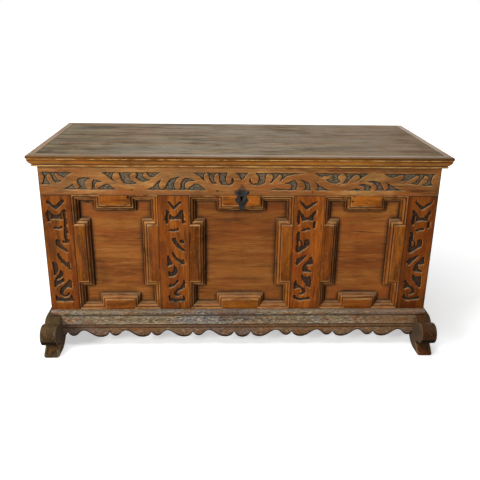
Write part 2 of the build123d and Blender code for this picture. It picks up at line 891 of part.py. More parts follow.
front_left = (-lid_half, lid_front, lid_underside)
front_right = (lid_half, lid_front, lid_underside)
export(moulding_run(lid_profile, edge_width, front_right, front_left, (0, -1, 0), (0, -1, 0), (0, 1, 0)),
       "lid_front_moulding")
export(moulding_run(lid_profile, edge_width, front_left, (-lid_half, lid_back, lid_underside), (-1, 0, 0),
                    (-1, 0, 0)), "lid_left_moulding")
export(moulding_run(lid_profile, edge_width, (lid_half, lid_back, lid_underside), front_right, (1, 0, 0),
                    None, (-1, 0, 0)), "lid_right_moulding")

batten_outer = side_inner - batten_inset

for name, sign in sides:
    lid_batten = member([
        box_of((sign * (batten_outer - batten_width), sign * batten_outer),
               (post_front + batten_end_gap, post_back - batten_end_gap),
               (lid_underside - batten_thickness, lid_underside)),
    ])
    export(lid_batten, f"lid_{name}_batten")

# Strap hinges

strap_low = lid_underside - strap_thickness
strap_tip = back - strap_length
nail_spacing = (strap_length - strap_nail_start - strap_nail_end) / (strap_nail_count - 1)
strap_nail_ends = [back - strap_nail_start - i * nail_spacing for i in range(strap_nail_count)]
leaf_nail_drops = [leaf_nail_start + i * leaf_nail_spacing for i in range(leaf_nail_count)]


def barrel(x, width):
    """A rolled knuckle round the hinge pin, added to the open part."""
    with BuildSketch(Plane.YZ.offset(x - width / 2)) as disc:
        with Locations((hinge_y, hinge_z)):
            Circle(knuckle_radius)
    extrude(disc.sketch, amount=width)


def pin_bore(x):
    """The bore for the hinge pin through the open part."""
    with BuildSketch(Plane.YZ.offset(x - strap_width)) as bore:
        with Locations((hinge_y, hinge_z)):
            Circle(pin_radius + pin_fit)
    extrude(bore.sketch, amount=2 * strap_width, mode=Mode.SUBTRACT)


def nail_head(plane):
    """A low domed nail head that stands on a plane."""
    with BuildPart() as nail:
        with BuildSketch(plane):
            Circle(nail_radius)
        with BuildSketch(plane.offset(nail_height)):
            Circle(nail_crown_radius)
        loft()
    return nail


for name, sign in sides:
    x = sign * hinge_offset
    with BuildPart() as lid_strap:
        with BuildSketch(Plane.XY.offset(strap_low)):
            with BuildLine():
                Polyline((x - strap_width / 2, back), (x + strap_width / 2, back),
                         (x + strap_end_width / 2, strap_tip + strap_leaf_radius),
                         (x - strap_end_width / 2, strap_tip + strap_leaf_radius), close=True)
            make_face()
            with Locations((x, strap_tip + strap_leaf_radius)):
                Circle(strap_leaf_radius)
        extrude(amount=strap_thickness)
        block(box_of((x - knuckle_width / 2, x + knuckle_width / 2), (back - strap_thickness, hinge_y),
                     (strap_low, lid_underside)))
        barrel(x, knuckle_width)
        pin_bore(x)
    export(lid_strap, f"{name}_lid_strap")

    outer_knuckle = (strap_width - knuckle_width) / 2 - knuckle_gap
    with BuildPart() as case_leaf:
        block(box_of((x - strap_width / 2, x + strap_width / 2), (back, back + strap_thickness),
                     (hinge_z - case_leaf_length, hinge_z)))
        block(box_of((x - knuckle_width / 2 - knuckle_gap, x + knuckle_width / 2 + knuckle_gap),
                     (back - knuckle_gap, back + strap_thickness + knuckle_gap),
                     (hinge_z - knuckle_radius - knuckle_gap, hinge_z + knuckle_gap)), Mode.SUBTRACT)
        for step in (-1, 1):
            barrel(x + step * (strap_width - outer_knuckle) / 2, outer_knuckle)
        pin_bore(x)
    export(case_leaf, f"{name}_case_leaf")

    with BuildPart() as hinge_pin:
        with BuildSketch(Plane.YZ.offset(x - strap_width / 2 - pin_proud)):
            with Locations((hinge_y, hinge_z)):
                Circle(pin_radius)
        extrude(amount=strap_width + 2 * pin_proud)
    export(hinge_pin, f"{name}_hinge_pin")

lid_nails = group([
    nail_head(Plane(origin=(sign * hinge_offset, y, strap_low), z_dir=(0, 0, -1)))
    for _, sign in sides for y in strap_nail_ends
])
export(lid_nails, "lid_nails")

# Lock: case, bolt, guides, the staple on the lid and the escutcheon

lock_back = front_inside + lock_depth
lock_high = case_top - lock_top_gap
lock_low = lock_high - lock_height
bolt_level = lock_high - bolt_drop
bolt_y = (front_inside + bolt_setback - bolt_thickness / 2, front_inside + bolt_setback + bolt_thickness / 2)
bolt_z = (bolt_level - bolt_height / 2, bolt_level + bolt_height / 2)
bolt_head = -staple_thickness / 2 - bolt_head_gap
bolt_end = bolt_head - bolt_length
staple_y = (front_inside + bolt_setback - staple_width / 2, front_inside + bolt_setback + staple_width / 2)
staple_low = bolt_z[0] - staple_eye_gap - staple_wall
tail_head = bolt_head - guide_lead - guide_width - bolt_travel - bolt_tail_gap

lock_case = member(
    [box_of((-lock_half_width, lock_half_width), (front_inside, lock_back), (lock_low, lock_high))],
    [
        box_of((-lock_half_width + lock_wall, lock_half_width - lock_wall),
               (front_inside - lock_wall, lock_back - lock_wall),
               (lock_low + lock_wall, lock_high - lock_wall)),
        box_of((-staple_thickness / 2 - staple_slot_gap, staple_thickness / 2 + staple_slot_gap),
               (staple_y[0] - staple_slot_gap, staple_y[1] + staple_slot_gap),
               (lock_high - 2 * lock_wall, lock_high + lock_wall)),
    ],
)
export(lock_case, "lock_case")

lock_bolt = member([
    box_of((bolt_end, bolt_head), bolt_y, bolt_z),
    box_of((tail_head - bolt_tail_width, tail_head), bolt_y, (bolt_z[0] - bolt_tail_length, bolt_z[0])),
])
export(lock_bolt, "lock_bolt")

guide_room = grown(box_of((bolt_end - bolt_travel, bolt_head + bolt_travel), bolt_y, bolt_z),
                   0, bolt_fit, bolt_fit)
bolt_guides = member(
    [
        box_of((x, x + guide_width), (bolt_y[0] - bolt_fit - guide_wall / 2, lock_back - lock_wall),
               (bolt_z[0] - guide_wall, bolt_z[1] + guide_wall))
        for x in (bolt_end + guide_inset, bolt_head - guide_lead - guide_width)
    ],
    [guide_room],
)
export(bolt_guides, "bolt_guides")

lid_staple = member(
    [
        box_of((-staple_thickness / 2, staple_thickness / 2), staple_y, (staple_low, lid_underside)),
        box_of((-staple_plate_length / 2, staple_plate_length / 2), staple_y,
               (lid_underside - staple_plate_thickness, lid_underside)),
    ],
    [grown(box_of((-staple_thickness, staple_thickness), bolt_y, bolt_z),
           0, staple_eye_gap / 2, staple_eye_gap)],
)
export(lid_staple, "lid_staple")

escutcheon_top = keyhole_level + escutcheon_rise
knob_x = escutcheon_half_width - knob_radius
knob_level = escutcheon_top - knob_drop
bulb_level = escutcheon_top - escutcheon_height + bulb_radius
half_shield = [
    (shoulder_half_width, knob_level + knob_radius), (knob_x, knob_level),
    (waist_half_width, escutcheon_top - waist_drop), (lobe_half_width, escutcheon_top - lobe_drop),
    (waist_half_width, escutcheon_top - tail_drop), (neck_half_width, bulb_level + bulb_radius / 2),
]
with BuildPart() as escutcheon:
    with BuildSketch(Plane.XZ.offset(-front)):
        with BuildLine():
            Polyline((0, escutcheon_top), *half_shield, (0, bulb_level),
                     *[(-x, z) for x, z in reversed(half_shield)], close=True)
        make_face()
        with Locations((-knob_x, knob_level), (knob_x, knob_level)):
            Circle(knob_radius)
        with Locations((0, bulb_level)):
            Circle(bulb_radius)
    extrude(amount=escutcheon_thickness)
    keyhole(front - escutcheon_thickness, front)
export(escutcheon, "escutcheon")

escutcheon_face = front - escutcheon_thickness
case_nails = group(
    [nail_head(Plane(origin=(sign * hinge_offset, back + strap_thickness, hinge_z - drop), z_dir=(0, 1, 0)))
     for _, sign in sides for drop in leaf_nail_drops]
    + [nail_head(Plane(origin=(sign * knob_x, escutcheon_face, knob_level), z_dir=(0, -1, 0)))
       for _, sign in sides]
)
export(case_nails, "case_nails")
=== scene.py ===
import bmesh
import bpy
import json
import math
import random
import numpy as np
from mathutils import Matrix, Vector
from mathutils.bvhtree import BVHTree


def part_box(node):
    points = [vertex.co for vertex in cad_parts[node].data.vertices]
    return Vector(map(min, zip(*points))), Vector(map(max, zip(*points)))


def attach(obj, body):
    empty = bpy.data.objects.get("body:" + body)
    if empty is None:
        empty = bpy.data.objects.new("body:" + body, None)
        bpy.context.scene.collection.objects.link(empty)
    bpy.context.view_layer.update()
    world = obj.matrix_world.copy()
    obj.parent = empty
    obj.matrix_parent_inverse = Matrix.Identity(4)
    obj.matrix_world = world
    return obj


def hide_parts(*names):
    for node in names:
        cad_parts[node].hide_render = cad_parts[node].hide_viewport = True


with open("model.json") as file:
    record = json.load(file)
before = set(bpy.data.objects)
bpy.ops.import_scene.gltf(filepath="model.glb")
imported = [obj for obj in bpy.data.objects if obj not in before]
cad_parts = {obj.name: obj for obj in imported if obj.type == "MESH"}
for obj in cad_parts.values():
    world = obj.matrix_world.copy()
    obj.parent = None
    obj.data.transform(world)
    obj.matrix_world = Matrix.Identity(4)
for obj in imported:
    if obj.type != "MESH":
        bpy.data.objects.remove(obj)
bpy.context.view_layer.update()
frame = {"nodes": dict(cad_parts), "record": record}
print("frame loaded with", len(frame["nodes"]), "nodes")

record = frame["record"]
slotOf = {part["node"]: part["material_slot"] for part in record["subparts"]}
bodyOf = {node: body for body, nodes in record["behaviour"]["bodies"].items() for node in nodes}
mm = 0.001
weldGap = 0.00001        # verts closer than this are one, in metres
flatAngle = 0.5          # faces that turn less than this are one, in degrees
sharpAngle = 32          # edges that turn more than this are shaded sharp, in degrees


def low(node):
    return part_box(node)[0]


def high(node):
    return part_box(node)[1]


# Node trees: shaders and Geometry Nodes use the same small calls

def put(tree, kind, inputs=None, **settings):
    node = tree.nodes.new(kind)
    for key, value in settings.items():
        setattr(node, key, value)
    for key, value in (inputs or {}).items():
        if isinstance(key, str):
            socket = next(socket for socket in node.inputs if socket.name == key and socket.enabled)
        else:
            socket = node.inputs[key]
        if isinstance(value, bpy.types.NodeSocket):
            tree.links.new(value, socket)
        else:
            socket.default_value = value
    return node


def newSockets(tree, way, sockets):
    # A number makes a socket that holds it, a word names the kind of socket
    for title, value in sockets.items():
        kind = value if isinstance(value, str) else "Int" if isinstance(value, int) else "Float"
        socket = tree.interface.new_socket(title, in_out=way, socket_type="NodeSocket" + kind)
        if not isinstance(value, str):
            socket.default_value = value


def maths(tree, operation, first, second=0.0, clamp=False):
    return put(tree, "ShaderNodeMath", {0: first, 1: second}, operation=operation,
               use_clamp=clamp).outputs[0]


def vectorMaths(tree, operation, inputs, output=0):
    return put(tree, "ShaderNodeVectorMath", inputs, operation=operation).outputs[output]


def vectorOf(tree, parts):
    return put(tree, "ShaderNodeCombineXYZ", parts).outputs[0]


def partsOf(tree, vector):
    return put(tree, "ShaderNodeSeparateXYZ", {0: vector}).outputs


def mapped(tree, value, start, end, bottom=0.0, top=1.0, kind="LINEAR"):
    limits = {"Value": value, "From Min": start, "From Max": end, "To Min": bottom, "To Max": top}
    return put(tree, "ShaderNodeMapRange", limits, interpolation_type=kind).outputs[0]


def ramp(tree, value, start, end, bottom=0.0, top=1.0):
    return mapped(tree, value, start, end, bottom, top, "SMOOTHSTEP")


def noise(tree, vector, scale, detail=2.0, roughness=0.5):
    return put(tree, "ShaderNodeTexNoise", {"Vector": vector, "Scale": scale, "Detail": detail,
                                            "Roughness": roughness}).outputs["Fac"]


def stretched(tree, vector, scale):
    return vectorMaths(tree, "MULTIPLY", {0: vector, 1: scale})


def alongGrain(tree, grain, along, across, detail=2.0, roughness=0.5, scale=1.0):
    # Noise drawn out along the grain: how many islands to the metre along it and across it
    return noise(tree, stretched(tree, grain, (along, across, across)), scale, detail, roughness)


def blended(tree, factor, first, second):
    node = put(tree, "ShaderNodeMix", data_type="RGBA")
    for key, value in ((0, factor), (6, first), (7, second)):
        if isinstance(value, bpy.types.NodeSocket):
            tree.links.new(value, node.inputs[key])
        else:
            node.inputs[key].default_value = value
    return node.outputs[2]


def paint(red, green, blue):
    # A colour written as it shows on a screen, 0 to 255
    channels = [value / 255 for value in (red, green, blue)]
    return tuple(c / 12.92 if c <= 0.04045 else ((c + 0.055) / 1.055) ** 2.4 for c in channels) + (1,)


def newMaterial(name):
    material = bpy.data.materials.new(name)
    material.use_nodes = True
    tree = material.node_tree
    return material, tree, tree.nodes["Principled BSDF"]


# Camera, light and floor

cameraView = {"place": (-0.0842, -2.1925, 1.1406), "yaw": 2.360, "tilt": 20.518, "roll": 0.877,
              "lens": 45.31, "sensor": 36}


def makeCamera():
    yaw, tilt, roll = (math.radians(cameraView[key]) for key in ("yaw", "tilt", "roll"))
    ahead = Vector((math.sin(yaw) * math.cos(tilt), math.cos(yaw) * math.cos(tilt), -math.sin(tilt)))
    level = ahead.cross(Vector((0, 0, 1))).normalized()
    up = level.cross(ahead)
    right = level * math.cos(roll) + up * math.sin(roll)
    top = up * math.cos(roll) - level * math.sin(roll)
    camera = bpy.data.objects.new("camera", bpy.data.cameras.new("camera"))
    camera.data.lens = cameraView["lens"]
    camera.data.sensor_width = cameraView["sensor"]
    camera.matrix_world = Matrix((right, top, -ahead)).transposed().to_4x4()
    camera.location = cameraView["place"]
    bpy.context.scene.collection.objects.link(camera)
    bpy.context.scene.camera = camera


lamps = {
    "ceiling": {"place": (-0.6, -0.9, 3.3), "aim": (0, 0.05, 0.4), "size": (2.0, 1.4), "power": 56},
    "left": {"place": (-3.9, -3.9, 2.5), "aim": (0, 0, 0.35), "size": (1.5, 1.5), "power": 260},
    "right": {"place": (3.0, -2.6, 1.5), "aim": (0, 0, 0.3), "size": (2.0, 1.6), "power": 5},
    "rear": {"place": (0.6, 3.2, 2.4), "aim": (0, 0, 0.3), "size": (2.6, 1.6), "power": 40},
}


def makeLamps():
    for name, lamp in lamps.items():
        light = bpy.data.lights.new(name, "AREA")
        light.shape = "RECTANGLE"
        light.size, light.size_y = lamp["size"]
        light.energy = lamp["power"]
        holder = bpy.data.objects.new(name, light)
        holder.location = lamp["place"]
        aim = Vector(lamp["aim"]) - Vector(lamp["place"])
        holder.rotation_euler = aim.to_track_quat("-Z", "Y").to_euler()
        bpy.context.scene.collection.objects.link(holder)


studio = {"world": 0.2, "white": (1, 1, 1, 1), "floor": paint(226, 226, 226), "rough": 0.9, "gloss": 0.1,
          "near": 1.3, "far": 3.2, "lift": (0.5, 1.0), "half": 14}


def makeWorld():
    # The camera and reflections see white, while the light that reaches the chest is dim
    world = bpy.data.worlds.new("studio")
    world.use_nodes = True
    tree = world.node_tree
    tree.nodes.clear()
    rays = put(tree, "ShaderNodeLightPath").outputs
    seen = rays["Is Camera Ray"]
    for kind in ("Is Glossy Ray", "Is Transmission Ray"):
        seen = maths(tree, "MAXIMUM", seen, rays[kind])
    strength = mapped(tree, seen, 0.0, 1.0, studio["world"], 1.0)
    sky = put(tree, "ShaderNodeBackground", {"Color": studio["white"], "Strength": strength})
    put(tree, "ShaderNodeOutputWorld", {"Surface": sky.outputs[0]})
    bpy.context.scene.world = world


def makeFloor():
    half = studio["half"]
    corners = [(-half, -half, 0), (half, -half, 0), (half, half, 0), (-half, half, 0)]
    mesh = bpy.data.meshes.new("floor")
    mesh.from_pydata(corners, [], [(0, 1, 2, 3)])
    floor = bpy.data.objects.new("floor", mesh)
    bpy.context.scene.collection.objects.link(floor)
    material, tree, shader = newMaterial("studioFloor")
    seen = put(tree, "ShaderNodeLightPath").outputs["Is Camera Ray"]
    place = put(tree, "ShaderNodeTexCoord").outputs["Object"]
    away = vectorMaths(tree, "LENGTH", {0: place}, "Value")
    glow = mapped(tree, away, studio["near"], studio["far"], *studio["lift"])
    shader.inputs["Base Color"].default_value = studio["floor"]
    shader.inputs["Roughness"].default_value = studio["rough"]
    shader.inputs["Specular IOR Level"].default_value = studio["gloss"]
    shader.inputs["Emission Color"].default_value = studio["white"]
    tree.links.new(maths(tree, "MULTIPLY", seen, glow), shader.inputs["Emission Strength"])
    mesh.materials.append(material)


makeCamera()
makeLamps()
makeWorld()
makeFloor()
bpy.context.scene.view_settings.view_transform = "Standard"
print("camera, lamps and floor made")


# Shared shader groups

def newGroup(name, inputs, outputs):
    group = bpy.data.node_groups.new(name, "ShaderNodeTree")
    newSockets(group, "INPUT", inputs)
    newSockets(group, "OUTPUT", outputs)
    return group, put(group, "NodeGroupInput").outputs


def placed(tree, group, values):
    # A shared group in one material, with that material's values
    return put(tree, "ShaderNodeGroup", values, node_tree=group).outputs


woodFigure = {         # each layer: islands to the metre along and across the grain, detail, roughness
    "warp": (0.9, 7), "broad": (1.3, 10, 3.0, 0.55), "streak": (4, 75, 4.0, 0.6),
    "fibre": (17, 250, 3.0, 0.65), "pore": (45, 640, 2.0, 0.6), "sway": (0.03, -0.02), "rings": 260.0,
    "lateWood": (0.35, 1.0), "broadShare": 0.52, "shares": {"streak": 0.3, "fibre": 0.3, "late": -0.06},
    "middle": (0.40, 0.54), "pale": (0.54, 0.70), "open": (0.57, 0.68), "soot": 0.45, "raised": 0.35,
    "sunk": 0.6,
}


def makeOakFigure():
    # Oak as a solid: the grain runs along the first axis of the Grain vector, rings go round it
    group, source = newGroup(
        "oakFigure",
        {"Grain": "Vector", "Dark": "Color", "Middle": "Color", "Pale": "Color", "Streaks": 1.0},
        {"Color": "Color", "Height": "Float"})
    look = woodFigure
    warp = alongGrain(group, source["Grain"], *look["warp"])
    sway = [maths(group, "MULTIPLY", warp, amount) for amount in look["sway"]]
    line = vectorMaths(group, "ADD", {0: source["Grain"], 1: vectorOf(group, {1: sway[0], 2: sway[1]})})
    layers = {name: alongGrain(group, line, *look[name]) for name in ("broad", "streak", "fibre", "pore")}
    part = partsOf(group, line)
    radius = vectorMaths(group, "LENGTH", {0: vectorOf(group, {1: part[1], 2: part[2]})}, "Value")
    ring = maths(group, "FRACT", maths(group, "MULTIPLY", radius, look["rings"]))
    layers["late"] = ramp(group, ring, *look["lateWood"])
    value = maths(group, "MULTIPLY", layers["broad"], look["broadShare"])
    for name, share in look["shares"].items():
        scaled = maths(group, "MULTIPLY", layers[name], share)
        value = maths(group, "ADD", value, maths(group, "MULTIPLY", scaled, source["Streaks"]))
    dark = blended(group, ramp(group, value, *look["middle"]), source["Dark"], source["Middle"])
    colour = blended(group, ramp(group, value, *look["pale"]), dark, source["Pale"])
    pores = ramp(group, layers["pore"], *look["open"])
    shaded = blended(group, maths(group, "MULTIPLY", pores, look["soot"]), colour, source["Dark"])
    raised = maths(group, "ADD", maths(group, "MULTIPLY", layers["fibre"], look["raised"]), layers["streak"])
    height = maths(group, "SUBTRACT", raised, maths(group, "MULTIPLY", pores, look["sunk"]))
    put(group, "NodeGroupOutput", {"Color": shaded, "Height": height})
    return group


ageing = {             # the noises as above, then where each mark starts and is full, and its least and most
    "patch": (9.0, 4.0, 0.6), "nicks": (30, 160, 3.0, 0.65), "blot": (3.2, 14, 5.0, 0.62),
    "rubbed": (0.36, 0.6), "soiled": (0.52, 0.74, 0.0, 0.35), "settled": (0.2, 0.45, 0.75, 1.0),
    "upward": (0.25, 0.85), "lying": (0.25, 0.6, 0.6, 1.0), "stained": (0.5, 0.66),
}


def makeAgeAndLight():
    # Where hands and dusters have worn a piece and where dirt has settled on it; the same masks also carry
    # painted shade, a painted sheen on upward faces and painted highlights
    group, source = newGroup(
        "ageMasks", {"Grain": "Vector", "Edge": 0.0, "Cut": 0.0, "Wear": 1.0, "Grime": 1.0, "Dust": 0.5,
                     "Stain": 0.3, "Blot": 1.0},
        {title: "Float" for title in ("Wear", "Grime", "Dust", "Stain", "Patch")})
    place = put(group, "ShaderNodeTexCoord").outputs
    patch = noise(group, place["Object"], *ageing["patch"])
    nicks = alongGrain(group, source["Grain"], *ageing["nicks"])
    rub = maths(group, "MULTIPLY", source["Edge"], ramp(group, nicks, *ageing["rubbed"]))
    wear = maths(group, "MULTIPLY", rub, source["Wear"], clamp=True)
    # The cut attribute holds dirt in hollows and, on some pieces, painted shade; both darken the colour here
    settled = maths(group, "MULTIPLY", source["Cut"], ramp(group, nicks, *ageing["settled"]))
    soiled = maths(group, "ADD", ramp(group, patch, *ageing["soiled"]), settled)
    grime = maths(group, "MULTIPLY", soiled, source["Grime"], clamp=True)
    # Upward faces turn pale: settled dust, and a painted sheen of the light from above
    level = ramp(group, partsOf(group, place["Normal"])[2], *ageing["upward"])
    lying = maths(group, "MULTIPLY", level, ramp(group, nicks, *ageing["lying"]))
    dust = maths(group, "MULTIPLY", lying, source["Dust"], clamp=True)
    blot = alongGrain(group, source["Grain"], *ageing["blot"], scale=source["Blot"])
    stain = maths(group, "MULTIPLY", ramp(group, blot, *ageing["stained"]), source["Stain"], clamp=True)
    put(group, "NodeGroupOutput", {"Wear": wear, "Grime": grime, "Dust": dust, "Stain": stain,
                                   "Patch": patch})
    return group


islandDetail = (6.0, 0.62)


def makePatches():
    # Irregular islands of another colour, drawn out along the grain
    group, source = newGroup(
        "patches",
        {"Grain": "Vector", "Length": 8.0, "Width": 24.0, "Start": 0.5, "Full": 0.6, "Amount": 0.5},
        {"Mask": "Float"})
    size = vectorOf(group, {0: source["Length"], 1: source["Width"], 2: source["Width"]})
    mottled = noise(group, stretched(group, source["Grain"], size), 1.0, *islandDetail)
    mask = ramp(group, mottled, source["Start"], source["Full"], 0.0, source["Amount"])
    put(group, "NodeGroupOutput", {"Mask": mask})
    return group


oakFigure = makeOakFigure()
ageMasks = makeAgeAndLight()
patches = makePatches()


# Knots, holes and shakes, each an oval: along, height, half length, half height, slope; in mm. On the lid's
# top the height is the distance behind the middle of the chest

frontMarks = {
    "rail": [(-368, 586, 5, 3, 0), (-82, 583, 5, 3, 0), (239, 581, 5, 3, 0), (-12, 590, 3, 2, 0)],
    "panel": [(-521, 538, 15, 4, 0.05), (-499, 530, 9, 4, -0.1), (-480, 199, 13, 5, 0.1),
              (425, 432, 78, 1.8, -0.06), (-150, 215, 60, 1.5, 0.01), (390, 205, 30, 2.5, 0.05),
              (70, 300, 90, 1.2, 0.02)],
    "lidTop": [(-500, -8, 60, 9, 0.03), (-400, -30, 70, 5, -0.02), (-178, -55, 34, 9, 0),
               (-130, -48, 30, 4, 0.1), (-610, -90, 34, 14, -0.1), (-640, -190, 16, 5, 0.2),
               (60, -112, 60, 3, 0.02), (330, 84, 90, 5, 0), (480, 52, 60, 6, 0.05), (205, -104, 46, 5, 0),
               (-40, -165, 60, 3, 0), (120, 150, 90, 4, 0.02)],
    "lidEdge": [(-616, 698, 4, 3, 0), (-384, 698, 5, 3, 0), (-212, 698, 5, 3, 0), (37, 698, 5, 3, 0),
                (145, 698, 5, 2, 0), (191, 698, 5, 3, 0), (458, 698, 5, 2, 0), (504, 698, 6, 3, 0)],
    "block": [(-382, 560, 7, 9, 0), (-392, 566, 4, 3, 0.4), (-372, 552, 3, 3, 0), (378, 548, 6, 4, 0)],
}
markEdge = {"ragged": (160.0, 3.0), "share": 0.8, "fade": (0.7, 1.5, 1.0, 0.0)}


def makeMarks(name):
    # Mask of the marks of one finish; only the front of a piece, or the lid's top, is marked
    level = name == "lidTop"
    group = newGroup(name + "Marks", {}, {"Mask": "Float"})[0]
    place = put(group, "ShaderNodeTexCoord").outputs["Object"]
    ragged = noise(group, place, *markEdge["ragged"])
    total = None
    for x, z, halfLong, halfHigh, slope in frontMarks[name]:
        centre = (x * mm, z * mm, 0) if level else (x * mm, 0, z * mm)
        shifted = vectorMaths(group, "SUBTRACT", {0: place, 1: centre})
        turned = put(group, "ShaderNodeVectorRotate", {"Vector": shifted, "Angle": slope},
                     rotation_type="Z_AXIS" if level else "Y_AXIS").outputs[0]
        across, along = 1 / (halfHigh * mm), 1 / (halfLong * mm)
        scaled = stretched(group, turned, (along, across, 0) if level else (along, 0, across))
        away = vectorMaths(group, "LENGTH", {0: scaled}, "Value")
        uneven = maths(group, "ADD", away, maths(group, "MULTIPLY", ragged, markEdge["share"]))
        spot = ramp(group, uneven, *markEdge["fade"])
        total = spot if total is None else maths(group, "MAXIMUM", total, spot)
    put(group, "NodeGroupOutput", {"Mask": total})
    return group


marks = {name: makeMarks(name) for name in frontMarks}


# How much of each mark of age an oak has, with the painted shade, sheen and highlights that ride on them,
# unless its own finish says otherwise
plainOak = {"streaks": 1.1, "wear": 0.9, "grime": 1.0, "dust": 0.3, "stain": 0.5, "blot": 1.0, "mottle": 0.0,
            "marked": 1.0, "rough": 0.55, "shine": 0.08, "bump": 0.35, "patches": []}
